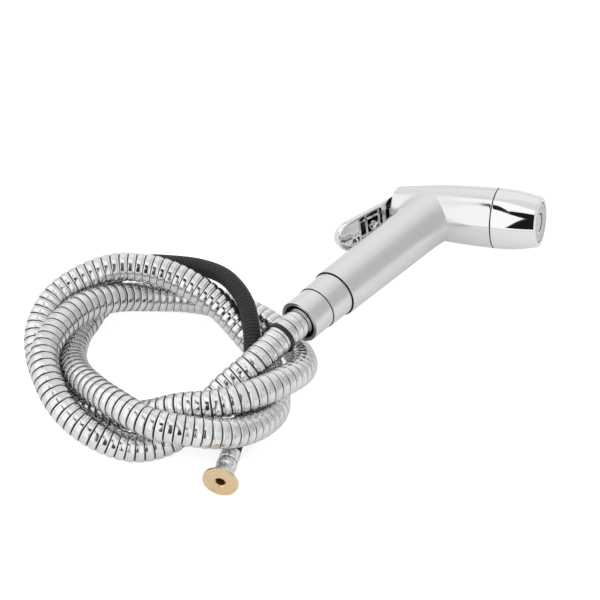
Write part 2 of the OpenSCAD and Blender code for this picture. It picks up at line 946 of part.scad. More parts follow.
// Open coil spring with a flat end ring's worth of wire at each end
module coil_spring(r, wire, h, turns) {
    steps = turns * 8;
    sides = 6;
    points = [for (i = [0:steps], k = [0:sides - 1])
        let (
            a = 360 * i / 8,
            c = r + wire * cos(360 * k / sides))
        [c * cos(a), c * sin(a), h * i / steps + wire * sin(360 * k / sides)]];
    first = [for (k = [0:sides - 3]) [0, k + 1, k + 2]];
    last = [for (k = [0:sides - 3]) [steps * sides, steps * sides + k + 2, steps * sides + k + 1]];
    faces = concat(wall(steps + 1, sides, 0, true), first, last);
    polyhedron(points = points, faces = faces, convexity = 20);
}

module metal_hose() {
    outer = [for (i = [0:rib_count - 1], h = [0, 1]) [
        metal_start_s + (i + 0.5 * h + 0.02) * rib_pitch,
        h == 0 ? metal_r - rib_depth : metal_r]];
    bore = [for (i = [0:bore_rings - 1]) [
        metal_start_s + i * (metal_len - 0.5 * rib_pitch) / (bore_rings - 1) + 0.02 * rib_pitch,
        metal_bore_r]];
    color("lightslategray")
        routed_tube(outer, bore, metal_sides);
}

module hose_end_ring() {
    cup = 5;
    color("silver")
    at_route(metal_stop_s - cup)
        difference() {
            cylinder(r = metal_r + 0.9, h = cup + 2.5);
            translate([0, 0, -past])
                cylinder(r = metal_r + 0.15, h = cup + past);
            cylinder(r = braid_r + 0.6, h = cup + 3 + past);
        }
}

module braided_hose() {
    rings = [for (i = [0:braid_rings - 1]) i * route_len / (braid_rings - 1)];
    color("dimgray")
        routed_tube(
            [for (s = rings) [s, braid_r]],
            [for (s = rings) [s, braid_r - braid_wall]],
            braid_sides);
}

module outer_ferrule() {
    color("silver")
    on_end()
        ring(ferrule_r, braid_r + 0.1, ferrule_len);
}

module end_collar() {
    color("silver")
    on_end()
        translate([0, 0, ferrule_len + fit])
            difference() {
                rotate_extrude()
                    polygon(concat(
                        [[tail_bore_r + 1.5, 0]],
                        [for (v = [0:0.125:1]) [
                            end_collar_r - 0.9 + 0.9 * sin(180 * v),
                            v * (end_collar_len - fit)]],
                        [[tail_bore_r + 1.5, end_collar_len - fit]]));
            }
}

module brass_tail() {
    disc_at = ferrule_len + end_collar_len + 0.05;
    color("goldenrod")
    on_end()
        difference() {
            union() {
                translate([0, 0, -tail_barb])
                    cylinder(r = barb_r, h = tail_barb + ferrule_len + 1);
                translate([0, 0, hose_in_ferrule + fit])
                    cylinder(r = braid_r, h = ferrule_len - hose_in_ferrule - 2 * fit);
                translate([0, 0, ferrule_len - 1])
                    cylinder(r = tail_bore_r + 1.4, h = end_collar_len + 1.5);
                translate([0, 0, disc_at])
                    cylinder(r = flange_r, h = flange_t);
            }
            translate([0, 0, -tail_barb - past])
                cylinder(r = barb_r - barb_wall, h = tail_barb + ferrule_len + 2 * past);
            translate([0, 0, ferrule_len])
                cylinder(r = tail_bore_r, h = end_collar_len + flange_t + past);
        }
}

module cable_tie() {
    tie_w = 2.4;
    color("black")
    at_route(metal_start_s + metal_end_z + 15)
        difference() {
            union() {
                cylinder(r = metal_r + 1, h = tie_w);
                rotate([0, 0, 200])
                    translate([-2.5, metal_r, -0.8])
                        cube([5, 3.6, 4]);
            }
            translate([0, 0, -past])
                cylinder(r = metal_r + 0.1, h = 5 * tie_w);
        }
}

// The least gaps along the hose, echoed so that a change of its route shows
function far_pairs(p, apart) = [for (i = [0:len(p) - 1], j = [i + apart:1:len(p) - 1]) norm(p[i] - p[j])];
gap_points = [for (s = [metal_start_s:3:metal_stop_s]) route_at(s)];
tail_gap_points = [for (s = [metal_stop_s + 14:3:route_len]) route_at(s)];
metal_gap = min(far_pairs(gap_points, 13)) - 2 * metal_r;
tail_gap = min([for (a = tail_gap_points, b = gap_points) norm(a - b)]) - metal_r - braid_r;
lowest = min([for (p = gap_points) p[2]]) - metal_r;
echo("metal hose length", metal_len, "least gap to itself", metal_gap);
echo("least gap to the braided hose", tail_gap, "lowest point of the metal hose", lowest);

handle_shell();
nozzle_cap();
spray_plate();
jet_insert();
flow_diffuser();
spray_chamber();
cap_o_ring();
outlet_tube();
valve_body();
gland_nut();
gland_o_ring();
valve_stem();
seat_washer();
valve_spring();
inlet_tube();
check_valve_housing();
check_poppet();
poppet_seal();
check_spring();
lever();
lever_pin();
collar_ring();
hose_sleeve();
sleeve_grommet();
hose_nipple();
nipple_washer();
inner_ferrule();
metal_hose();
hose_end_ring();
braided_hose();
outer_ferrule();
end_collar();
brass_tail();
cable_tie();
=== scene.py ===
"""Dresses the bath sprayer's solids and sets up its studio picture.

Lengths are in metres, in the same frame as the solids: the handset lies on the
floor on its side, +Z is up, and its hose is coiled beside it. The sizes inside a
sub-assembly are in millimetres, because that is how its drawing gives them.
"""

from __future__ import annotations

import json
import logging
import math
from dataclasses import dataclass, field
from enum import Enum
from typing import Callable, Sequence

import bmesh
import bpy
import numpy as np
from mathutils import Matrix, Vector

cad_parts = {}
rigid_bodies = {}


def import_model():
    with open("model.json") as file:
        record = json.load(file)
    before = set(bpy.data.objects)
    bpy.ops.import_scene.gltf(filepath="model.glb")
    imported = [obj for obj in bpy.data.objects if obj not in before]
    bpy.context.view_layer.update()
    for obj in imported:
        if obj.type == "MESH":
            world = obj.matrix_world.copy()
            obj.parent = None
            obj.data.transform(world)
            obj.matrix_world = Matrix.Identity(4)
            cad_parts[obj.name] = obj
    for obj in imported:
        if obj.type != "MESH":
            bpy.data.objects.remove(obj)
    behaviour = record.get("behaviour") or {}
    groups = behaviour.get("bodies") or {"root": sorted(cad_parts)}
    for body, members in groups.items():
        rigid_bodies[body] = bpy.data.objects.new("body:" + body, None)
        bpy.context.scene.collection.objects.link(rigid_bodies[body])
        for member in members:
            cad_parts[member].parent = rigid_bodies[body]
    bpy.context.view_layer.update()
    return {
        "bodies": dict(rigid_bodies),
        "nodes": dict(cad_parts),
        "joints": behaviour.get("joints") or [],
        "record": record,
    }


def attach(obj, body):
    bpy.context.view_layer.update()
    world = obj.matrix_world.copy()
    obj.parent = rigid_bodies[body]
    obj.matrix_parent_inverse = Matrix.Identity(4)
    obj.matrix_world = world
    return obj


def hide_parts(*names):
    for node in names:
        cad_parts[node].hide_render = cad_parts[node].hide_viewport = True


LOG = logging.getLogger("sprayer")
MM = 0.001
SEAM_DEPTH = 0.16
ROUTE_UV = "route"
PAINTED_SHADE_LAYER = "groove"
Colour = tuple[float, float, float, float]
Profile = list[tuple[float, float]]
Field = Callable[[np.ndarray], np.ndarray]
Socket = bpy.types.NodeSocket


class Body(str, Enum):
    """The rigid bodies that the dressed pieces ride on."""

    HANDSET = "handset"
    LEVER = "lever"


class Slot(str, Enum):
    """The record's material slots."""

    SATIN_CHROME = "satin_chrome"
    CHROME = "chrome"
    HOSE_STEEL = "hose_steel"
    STEEL = "steel"
    BRASS = "brass"
    GREY_PLASTIC = "grey_plastic"
    WHITE_PLASTIC = "white_plastic"
    BLACK_PLASTIC = "black_plastic"
    BLACK_RUBBER = "black_rubber"
    BLACK_BRAID = "black_braid"


# --------------------------------------------------------------------------
# Shader helpers
# --------------------------------------------------------------------------


class Nodes:
    """A node tree, with short ways to add and join nodes."""

    def __init__(self, tree: bpy.types.NodeTree, output: str) -> None:
        """Empty the tree and add its output.

        Args:
            tree: The tree.
            output: The output node's type name.
        """
        self.tree = tree
        self.tree.nodes.clear()
        self.output = self.node(output)

    def node(self, kind: str, **settings: object) -> bpy.types.Node:
        """Add a node.

        Args:
            kind: The node's type name.
            **settings: Properties to set on the node.

        Returns:
            The new node.
        """
        made = self.tree.nodes.new(kind)
        for key, value in settings.items():
            setattr(made, key, value)
        return made

    def feed(self, target: Socket, value: object) -> None:
        """Give a socket a number, a colour or another node's output.

        Args:
            target: The input socket.
            value: A number, a colour or an output socket.
        """
        if isinstance(value, Socket):
            self.tree.links.new(value, target)
        else:
            target.default_value = value

    def math(self, operation: str, *values: object) -> Socket:
        """Add a Math node.

        Args:
            operation: The operation's name.
            *values: Numbers or output sockets, in order.

        Returns:
            The result's socket.
        """
        made = self.node("ShaderNodeMath", operation=operation)
        for socket, value in zip(made.inputs, values):
            self.feed(socket, value)
        return made.outputs[0]

    def dot(self, vector: object, axis: Sequence[float]) -> Socket:
        """How far a vector reaches along an axis.

        Args:
            vector: The vector's socket.
            axis: The axis.

        Returns:
            The dot product's socket.
        """
        made = self.node("ShaderNodeVectorMath", operation="DOT_PRODUCT")
        self.feed(made.inputs[0], vector)
        made.inputs[1].default_value = tuple(axis)
        return made.outputs["Value"]

    def noise(self, scale: float, detail: float = 2.0) -> Socket:
        """Noise in the object's own space.

        Args:
            scale: Waves per metre.
            detail: Octaves of detail.

        Returns:
            The noise, from 0 to 1.
        """
        where = self.node("ShaderNodeTexCoord")
        made = self.node("ShaderNodeTexNoise")
        self.feed(made.inputs["Vector"], where.outputs["Object"])
        made.inputs["Scale"].default_value = scale
        made.inputs["Detail"].default_value = detail
        return made.outputs[0]

    def ramp(
        self, value: Socket, low: float, high: float, start: float = 0.0, stop: float = 1.0
    ) -> Socket:
        """Map a range of values onto another.

        Args:
            value: The value to map.
            low: Result at start.
            high: Result at stop.
            start: Where the range starts.
            stop: Where the range stops.

        Returns:
            The mapped value.
        """
        made = self.node("ShaderNodeMapRange")
        self.feed(made.inputs["Value"], value)
        limits = {"From Min": start, "From Max": stop, "To Min": low, "To Max": high}
        for name, number in limits.items():
            made.inputs[name].default_value = number
        return made.outputs[0]

    def blend(self, share: Socket, low: object, high: object) -> Socket:
        """Mix two colours.

        Args:
            share: How much of the second shows.
            low: The first colour.
            high: The second colour.

        Returns:
            The mixed colour.
        """
        made = self.node("ShaderNodeMix", data_type="RGBA")
        self.feed(made.inputs[0], share)
        self.feed(made.inputs[6], low)
        self.feed(made.inputs[7], high)
        return made.outputs[2]

    def bump(self, height: Socket, depth: float, strength: float = 1.0) -> Socket:
        """Turn a height into a bumped normal.

        Args:
            height: The height, from 0 to 1.
            depth: How deep a full step is, in metres.
            strength: How much of it shows.

        Returns:
            The normal's socket.
        """
        made = self.node("ShaderNodeBump")
        made.inputs["Strength"].default_value = strength
        made.inputs["Distance"].default_value = depth
        self.feed(made.inputs["Height"], height)
        return made.outputs[0]

    def principled(self, **values: object) -> bpy.types.Node:
        """Add the main surface shader and join it to the output.

        Args:
            **values: Inputs by name, with an underscore for each space.

        Returns:
            The shader node.
        """
        made = self.node("ShaderNodeBsdfPrincipled")
        for key, value in values.items():
            self.feed(made.inputs[key.replace("_", " ")], value)
        self.feed(self.output.inputs["Surface"], made.outputs[0])
        return made


class Shader(Nodes):
    """A material's node tree."""

    def __init__(self, name: str) -> None:
        """Start an empty material.

        Args:
            name: The material's name.
        """
        self.material = bpy.data.materials.new(name)
        self.material.use_nodes = True
        super().__init__(self.material.node_tree, "ShaderNodeOutputMaterial")

    def beyond(self, centre: Vector, axis: Vector) -> Socket:
        """How far the surface lies beyond a point, along an axis.

        Args:
            centre: The point.
            axis: The axis.

        Returns:
            The distance in metres.
        """
        place = self.node("ShaderNodeNewGeometry").outputs["Position"]
        return self.math("SUBTRACT", self.dot(place, axis), centre.dot(axis))

    def groove(self) -> Socket:
        """How much painted shade the mesh gives the surface in its grooves and pockets."""
        return self.node("ShaderNodeAttribute", attribute_name=PAINTED_SHADE_LAYER).outputs["Fac"]

    def route(self) -> bpy.types.NodeOutputs:
        """The way round and along a hose, as the outputs of a split vector."""
        uv = self.node("ShaderNodeSeparateXYZ")
        self.feed(uv.inputs[0], self.node("ShaderNodeUVMap", uv_map=ROUTE_UV).outputs[0])
        return uv.outputs


def grey(value: float) -> Colour:
    """An opaque neutral colour of a linear lightness."""
    return (value, value, value, 1.0)


def toward(bearing: float, rise: float) -> Vector:
    """The direction at a bearing and a rise, both in degrees."""
    turn, lift = math.radians(bearing), math.radians(rise)
    return Vector(
        (math.cos(turn) * math.cos(lift), math.sin(turn) * math.cos(lift), math.sin(lift))
    )


def carried(points: np.ndarray, matrix: Matrix) -> np.ndarray:
    """Carry points into another frame.

    Args:
        points: The points.
        matrix: From their frame to the other one.

    Returns:
        The points in the other frame.
    """
    turn = np.array(matrix)
    return points @ turn[:3, :3].T + turn[:3, 3]


# --------------------------------------------------------------------------
# Finishes
# --------------------------------------------------------------------------


@dataclass(frozen=True)
class Finish:
    """A finish: one material, for one of the record's slots."""

    name: str
    slot: Slot

    def build(self) -> bpy.types.Material:
        """Make the material.

        Returns:
            The material.
        """
        shader = Shader(self.name)
        self.paint(shader)
        return shader.material

    def paint(self, shader: Shader) -> None:
        """Fill the material's tree; each finish does it in its own way."""
        raise NotImplementedError


@dataclass(frozen=True)
class PolishedMetal(Finish):
    """Plated or polished metal with faint handling marks, darkened by painted shade in the pockets
    that the mesh marks.
    """

    colour: Colour
    roughness: float
    smear: float = 0.02
    grain_depth: float = 0.0
    # Painted shade: the colour deep in the lever's pockets, mixed in by the groove attribute
    pocket_shade: Colour = (0.16, 0.16, 0.165, 1)
    cloud_scale: float = 55.0
    mark_scale: float = 900.0
    grain_scale: float = 2600.0

    def paint(self, shader: Shader) -> None:
        """Fill the material's tree.

        Args:
            shader: The material's tree.
        """
        cloud = shader.noise(self.cloud_scale, 3.0)
        marks = shader.noise(self.mark_scale)
        rough = shader.math(
            "ADD",
            shader.ramp(cloud, self.roughness, self.roughness + self.smear, 0.35, 0.7),
            shader.ramp(marks, 0.0, self.smear * 0.5, 0.4, 0.7),
        )
        values: dict[str, object] = {
            # Painted shade in the pockets darkens the base colour
            "Base_Color": shader.blend(shader.groove(), self.colour, self.pocket_shade),
            "Metallic": 1.0,
            "Roughness": rough,
        }
        if self.grain_depth > 0:
            grain = shader.noise(self.grain_scale)
            values["Normal"] = shader.bump(grain, self.grain_depth * MM, 0.5)
        shader.principled(**values)


@dataclass(frozen=True)
class FadedSatin(Finish):
    """Satin plating that turns to a mirror towards the front of the head."""

    centre: Vector
    axis: Vector
    colour: Colour = (0.81, 0.81, 0.825, 1)
    satin: float = 0.31
    mirror: float = 0.05
    start: float = 11.0
    stop: float = 30.0
    cloud_scale: float = 60.0
    grain_scale: float = 2600.0
    grain_depth: float = 0.003

    def paint(self, shader: Shader) -> None:
        """Fill the material's tree.

        Args:
            shader: The material's tree.
        """
        along = shader.beyond(self.centre, self.axis)
        base = shader.ramp(along, self.satin, self.mirror, self.start * MM, self.stop * MM)
        cloud = shader.ramp(shader.noise(self.cloud_scale, 3.0), -0.02, 0.03, 0.35, 0.7)
        shader.principled(
            Base_Color=self.colour,
            Metallic=1.0,
            Roughness=shader.math("ADD", base, cloud),
            Normal=shader.bump(shader.noise(self.grain_scale), self.grain_depth * MM, 0.4),
        )


@dataclass(frozen=True)
class WoundStrip(Finish):
    """The metal hose's polished strip, with painted shade in the grooves between its turns."""

    dull: Colour = (0.80, 0.795, 0.80, 1)
    bright: Colour = (0.88, 0.875, 0.88, 1)
    shadow: Colour = (0.07, 0.068, 0.067, 1)
    cloud_scale: float = 130.0
    ripple_scale: float = 700.0
    ripple_depth: float = 0.02

    def paint(self, shader: Shader) -> None:
        """Fill the material's tree.

        Args:
            shader: The material's tree.
        """
        turn = shader.math("FLOOR", shader.route()[1])
        tone = shader.node("ShaderNodeTexWhiteNoise", noise_dimensions="1D")
        shader.feed(tone.inputs["W"], turn)
        strip = shader.blend(tone.outputs["Value"], self.dull, self.bright)
        ripple = shader.noise(self.ripple_scale)
        # Painted shade in the grooves, mixed in by the groove attribute
        shader.principled(
            Base_Color=shader.blend(shader.groove(), strip, self.shadow),
            Metallic=1.0,
            Roughness=shader.ramp(shader.noise(self.cloud_scale, 3.0), 0.12, 0.20, 0.35, 0.7),
            Normal=shader.bump(ripple, self.ripple_depth * MM, 0.25),
        )


@dataclass(frozen=True)
class TurnedBrass(Finish):
    """Bare brass with the rings that a lathe leaves, and a dark red-brown bore."""

    centre: Vector
    axis: Vector
    ring_pitch: float = 0.8
    ring_depth: float = 0.012
    bore_r: float = 2.5
    stain_scale: float = 160.0
    stained: Colour = (0.80, 0.60, 0.34, 1)
    clean: Colour = (0.90, 0.75, 0.50, 1)
    bore: Colour = (0.26, 0.075, 0.025, 1)

    def paint(self, shader: Shader) -> None:
        """Fill the material's tree.

        Args:
            shader: The material's tree.
        """
        place = shader.node("ShaderNodeNewGeometry").outputs["Position"]
        offset = shader.node("ShaderNodeVectorMath", operation="SUBTRACT")
        shader.feed(offset.inputs[0], place)
        offset.inputs[1].default_value = tuple(self.centre)
        around = shader.node("ShaderNodeVectorMath", operation="CROSS_PRODUCT")
        shader.feed(around.inputs[0], offset.outputs[0])
        around.inputs[1].default_value = tuple(self.axis)
        distance = shader.node("ShaderNodeVectorMath", operation="LENGTH")
        shader.feed(distance.inputs[0], around.outputs[0])
        far = distance.outputs["Value"]
        phase = shader.math("MULTIPLY", far, 2 * math.pi / (self.ring_pitch * MM))
        stain = shader.noise(self.stain_scale, 3.0)
        face = shader.blend(shader.ramp(stain, 0.0, 1.0, 0.3, 0.75), self.stained, self.clean)
        bore_edge = ((self.bore_r + 0.05) * MM, (self.bore_r + 0.2) * MM)
        shader.principled(
            Base_Color=shader.blend(shader.ramp(far, 0.0, 1.0, *bore_edge), self.bore, face),
            Metallic=shader.ramp(far, 0.2, 1.0, *bore_edge),
            Roughness=shader.ramp(stain, 0.24, 0.34, 0.3, 0.7),
            Normal=shader.bump(shader.math("SINE", phase), self.ring_depth * MM, 0.5),
        )


@dataclass(frozen=True)
class MouldedPlastic(Finish):
    """Moulded plastic or rubber with a fine spark-eroded grain."""

    colour: Colour
    roughness: float
    grain_depth: float = 0.01
    patch_scale: float = 240.0
    grain_scale: float = 3200.0

    def paint(self, shader: Shader) -> None:
        """Fill the material's tree.

        Args:
            shader: The material's tree.
        """
        self.mould(shader, self.colour)

    def mould(self, shader: Shader, colour: object) -> None:
        """Add the plastic's surface in a colour.

        Args:
            shader: The material's tree.
            colour: A colour, or the output that gives it.
        """
        patches = shader.noise(self.patch_scale)
        grain = shader.noise(self.grain_scale)
        shader.principled(
            Base_Color=colour,
            Roughness=shader.ramp(patches, self.roughness, self.roughness + 0.1, 0.3, 0.7),
            Normal=shader.bump(grain, self.grain_depth * MM, 0.6),
        )


@dataclass(frozen=True, kw_only=True)
class SprayFacePlastic(MouldedPlastic):
    """Moulded plastic whose holes and grooves fall into shadow below its face."""

    centre: Vector
    axis: Vector
    face: float
    roughness: float = 0.34
    shadow: Colour = (0.03, 0.03, 0.032, 1)
    shadow_from: float = 0.1
    shadow_full: float = 0.35

    def paint(self, shader: Shader) -> None:
        """Fill the material's tree.

        Args:
            shader: The material's tree.
        """
        edge = ((self.face - self.shadow_full) * MM, (self.face - self.shadow_from) * MM)
        lit = shader.ramp(shader.beyond(self.centre, self.axis), 0.0, 1.0, *edge)
        self.mould(shader, shader.blend(lit, self.shadow, self.colour))


@dataclass(frozen=True)
class BraidedYarn(Finish):
    """A tubular braid: two sets of flat yarns that cross over and under, with painted highlights
    and shade.
    """

    around: int = 12
    pitch: float = 1.9
    depth: float = 0.45
    fibre_scale: float = 2400.0
    fibre_share: float = 0.15
    # Painted shade between the yarns, and a painted highlight on their crowns
    valley_shade: Colour = (0.0012, 0.0014, 0.0015, 1)
    crown_highlight: Colour = (0.042, 0.046, 0.044, 1)

    def paint(self, shader: Shader) -> None:
        """Fill the material's tree.

        Args:
            shader: The material's tree.
        """
        route = shader.route()
        turn = shader.math("MULTIPLY", route[0], float(self.around))
        along = shader.math("DIVIDE", route[1], self.pitch * MM)

        def yarn(direction: str) -> Socket:
            phase = shader.math("MULTIPLY", shader.math(direction, turn, along), math.pi)
            return shader.math("ABSOLUTE", shader.math("SINE", phase))

        over = shader.math("SINE", shader.math("MULTIPLY", turn, 2 * math.pi))
        share = shader.ramp(over, 0.0, 1.0, -0.3, 0.3)
        first = shader.math("MULTIPLY", yarn("ADD"), share)
        second = shader.math("MULTIPLY", yarn("SUBTRACT"), shader.math("SUBTRACT", 1.0, share))
        yarns = shader.math("MULTIPLY", shader.math("ADD", first, second), 1 - self.fibre_share)
        fibres = shader.math("MULTIPLY", shader.noise(self.fibre_scale), self.fibre_share)
        height = shader.math("ADD", yarns, fibres)
        # The yarns' crowns get the painted highlight and the hollows between them the painted shade
        shader.principled(
            Base_Color=shader.blend(
                shader.ramp(height, 0.0, 1.0, 0.3, 0.95), self.valley_shade, self.crown_highlight
            ),
            Roughness=0.5,
            Specular_IOR_Level=0.35,
            Normal=shader.bump(height, self.depth * MM, 1.0),
        )


# Where the spray plate's face and the sunk insert's lie, along the spray axis
PLATE_FACE = 62.2
INSERT_FACE = 61.7


class Palette:
    """Every finish on the sprayer, built once and shared."""

    def __init__(self, tail: tuple[Vector, Vector], head: tuple[Vector, Vector]) -> None:
        """Build the finishes.

        Args:
            tail: A point on the brass tail's axis, and that axis.
            head: A point on the spray axis, and that axis.
        """
        centre, axis = head
        face = {"centre": centre, "axis": axis}
        finishes = (
            FadedSatin("satin_chrome", Slot.SATIN_CHROME, centre, axis),
            PolishedMetal("mirror_chrome", Slot.CHROME, (0.86, 0.86, 0.87, 1), 0.045, 0.03),
            WoundStrip("hose_steel", Slot.HOSE_STEEL),
            PolishedMetal("plain_steel", Slot.STEEL, (0.50, 0.50, 0.51, 1), 0.28, 0.10, 0.01),
            TurnedBrass("turned_brass", Slot.BRASS, *tail),
            SprayFacePlastic(
                name="grey_plastic",
                slot=Slot.GREY_PLASTIC,
                colour=(0.79, 0.79, 0.80, 1),
                face=PLATE_FACE,
                **face,
            ),
            MouldedPlastic("white_plastic", Slot.WHITE_PLASTIC, (0.72, 0.72, 0.71, 1), 0.42),
            MouldedPlastic("black_plastic", Slot.BLACK_PLASTIC, (0.012, 0.012, 0.013, 1), 0.35),
            MouldedPlastic("black_rubber", Slot.BLACK_RUBBER, (0.015, 0.015, 0.015, 1), 0.6, 0.03),
            BraidedYarn("black_braid", Slot.BLACK_BRAID),
        )
        self._made = {finish.slot: finish.build() for finish in finishes}
        self.insert = SprayFacePlastic(
            name="insert_plastic",
            slot=Slot.WHITE_PLASTIC,
            colour=(0.76, 0.76, 0.765, 1),
            face=INSERT_FACE,
            **face,
        ).build()
        # Painted shadow for the faces deep in the seams between parts; it borrows the black rubber
        # slot
        self.seam = MouldedPlastic(
            "seam_shadow", Slot.BLACK_RUBBER, (0.02, 0.02, 0.02, 1), 0.8
        ).build()

    def __getitem__(self, slot: Slot) -> bpy.types.Material:
        """Look a finish up.

        Args:
            slot: The record's slot.

        Returns:
            Its material.
        """
        return self._made[slot]


# --------------------------------------------------------------------------
# Mesh helpers
# --------------------------------------------------------------------------


@dataclass
class Shape:
    """Vertices and faces before they become an object."""

    points: np.ndarray
    faces: list[tuple[int, ...]]
    uvs: np.ndarray | None = None
    # Painted shade in grooves and pockets, one value per point from 0 to 1
    groove: np.ndarray | None = None
    dark: list[int] = field(default_factory=list)

    def moved(self, matrix: Matrix) -> "Shape":
        """Carry the shape, drawn in millimetres, into the solids' frame.

        Args:
            matrix: Where the shape's own frame lies.

        Returns:
            The moved shape, in metres.
        """
        turn = np.array(matrix.to_3x3())
        points = self.points @ turn.T * MM + np.array(matrix.translation)
        return Shape(points, self.faces, self.uvs, self.groove, self.dark)


def revolved(profile: Profile, segments: int = 96, seams: Sequence[float] = ()) -> Shape:
    """Turn a profile about the Z axis.

    Args:
        profile: Points (radius, height), from one end to the other.
        segments: Steps in a full turn.
        seams: Heights of the flat ends that lie in a dark seam.

    Returns:
        The surface, closed where the profile meets the axis.
    """
    points: list[tuple[float, float, float]] = []
    rings: list[list[int]] = []
    for radius, height in profile:
        if radius < 1e-6:
            rings.append([len(points)])
            points.append((0.0, 0.0, height))
            continue
        rings.append(list(range(len(points), len(points) + segments)))
        for k in range(segments):
            angle = 2 * math.pi * k / segments
            points.append((radius * math.cos(angle), radius * math.sin(angle), height))
    faces: list[tuple[int, ...]] = []
    dark: list[int] = []
    for step, (low, high) in enumerate(zip(rings[:-1], rings[1:])):
        ends = (profile[step][1], profile[step + 1][1])
        if any(max(abs(end - seam) for end in ends) < SEAM_DEPTH for seam in seams):
            dark.extend(range(len(faces), len(faces) + segments))
        for k in range(segments):
            n = (k + 1) % segments
            if len(low) == 1 and len(high) > 1:
                faces.append((low[0], high[k], high[n]))
            elif len(high) == 1 and len(low) > 1:
                faces.append((low[k], high[0], low[n]))
            elif len(low) > 1:
                faces.append((low[k], high[k], high[n], low[n]))
    return Shape(np.array(points), faces, dark=dark)


def rounded(profile: Profile, radii: dict[int, float], steps: int = 5) -> Profile:
    """Round chosen corners of a profile.

    Args:
        profile: Points (radius, height).
        radii: The rounding's radius by the corner's index.
        steps: Pieces in each rounding.

    Returns:
        The profile with its corners rounded.
    """
    out: Profile = []
    for i, point in enumerate(profile):
        size = radii.get(i, 0.0)
        if size <= 0 or i in (0, len(profile) - 1):
            out.append(point)
            continue
        here = np.array(point)
        back = np.array(profile[i - 1]) - here
        ahead = np.array(profile[i + 1]) - here
        reach = min(size, 0.45 * np.linalg.norm(back), 0.45 * np.linalg.norm(ahead))
        start = here + back / np.linalg.norm(back) * reach
        stop = here + ahead / np.linalg.norm(ahead) * reach
        for k in range(steps + 1):
            t = k / steps
            spot = (1 - t) ** 2 * start + 2 * t * (1 - t) * here + t * t * stop
            out.append((float(spot[0]), float(spot[1])))
    return out


def onto_crease(points: np.ndarray, one: Field, two: Field, reach: float) -> np.ndarray:
    """Move points onto the line where two fields are both zero.

    Args:
        points: Points near that line.
        one: The first field.
        two: The second field.
        reach: How far a point may move.

    Returns:
        The moved points.
    """
    out = points.copy()
    for _ in range(5):
        slopes = np.stack([gradient(one, out), gradient(two, out)], axis=1)
        values = np.stack([one(out), two(out)], axis=1)[..., None]
        square = slopes @ slopes.transpose(0, 2, 1) + 1e-4 * np.eye(2)
        out -= np.einsum("nij,ni->nj", slopes, np.linalg.solve(square, values)[..., 0])
    far = np.linalg.norm(out - points, axis=1) > reach
    out[far] = points[far]
    return out


def surface_of(
    field_value: Field,
    low: Sequence[float],
    high: Sequence[float],
    cell: float,
    creases: Sequence[tuple[Field, Field]] = (),
) -> Shape:
    """Mesh the surface where a field is zero, and settle it onto that surface.

    Args:
        field_value: Gives a signed distance for each point.
        low: Lowest corner of the box that is searched.
        high: Highest corner of that box.
        cell: The grid's step.
        creases: Pairs of fields that meet in a sharp line on the surface.

    Returns:
        The surface.
    """
    axes = [np.arange(a, b + cell, cell) for a, b in zip(low, high)]
    grid = np.stack(np.meshgrid(*axes, indexing="ij"), axis=-1)
    shape = grid.shape[:3]
    value = field_value(grid.reshape(-1, 3)).reshape(shape)
    inside = value < 0
    nx, ny, nz = (n - 1 for n in shape)
    count = np.zeros((nx, ny, nz), int)
    for dx, dy, dz in np.ndindex(2, 2, 2):
        count += inside[dx : nx + dx, dy : ny + dy, dz : nz + dz]
    crossed = (count > 0) & (count < 8)
    index = -np.ones(crossed.shape, int)
    index[crossed] = np.arange(int(crossed.sum()))
    points = grid[:-1, :-1, :-1][crossed] + cell / 2
    faces: list[tuple[int, ...]] = []
    for axis in range(3):
        ahead = np.roll(inside, -1, axis=axis)
        cut = inside != ahead
        limit = [slice(1, n - 1) for n in shape]
        limit[axis] = slice(0, shape[axis] - 1)
        mask = np.zeros(shape, bool)
        mask[tuple(limit)] = cut[tuple(limit)]
        spots = np.argwhere(mask)
        one, two = [a for a in range(3) if a != axis]
        for spot in spots:
            corners = []
            for back_one, back_two in ((1, 1), (0, 1), (0, 0), (1, 0)):
                cell_at = spot.copy()
                cell_at[one] -= back_one
                cell_at[two] -= back_two
                corners.append(int(index[tuple(cell_at)]))
            flip = bool(inside[tuple(spot)]) == (axis == 1)
            faces.append(tuple(corners[::-1] if flip else corners))
    for _ in range(6):
        slope = gradient(field_value, points)
        length = np.maximum(np.linalg.norm(slope, axis=1), 0.2)
        step = (field_value(points) / length)[:, None] * slope / length[:, None]
        points = points - np.clip(step, -cell / 2, cell / 2)
    for one, two in creases:
        near = np.maximum(np.abs(one(points)), np.abs(two(points))) < 0.5 * cell
        points[near] = onto_crease(points[near], one, two, cell)
    return Shape(points, faces)


def take_normals(made: bpy.types.Object, field_value: Field, matrix: Matrix) -> None:
    """Give a mesh its field's exact normals, face by face, so that creases stay sharp.

    Args:
        made: The object.
        field_value: The field that its surface follows.
        matrix: From the field's frame, in millimetres, to the solids' frame.
    """
    mesh = made.data
    corner = np.zeros(len(mesh.loops), int)
    mesh.loops.foreach_get("vertex_index", corner)
    spots = np.zeros(len(mesh.vertices) * 3)
    mesh.vertices.foreach_get("co", spots)
    centres = np.zeros(len(mesh.polygons) * 3)
    mesh.polygons.foreach_get("center", centres)
    counts = np.zeros(len(mesh.polygons), int)
    mesh.polygons.foreach_get("loop_total", counts)
    middle = np.repeat(centres.reshape(-1, 3), counts, axis=0)
    at = spots.reshape(-1, 3)[corner] * 0.75 + middle * 0.25
    slope = gradient(field_value, carried(at, matrix.inverted()) / MM)
    slope /= np.maximum(np.linalg.norm(slope, axis=1), 1e-9)[:, None]
    turn = np.array(matrix.to_3x3())
    mesh.normals_split_custom_set((slope @ turn.T).tolist())


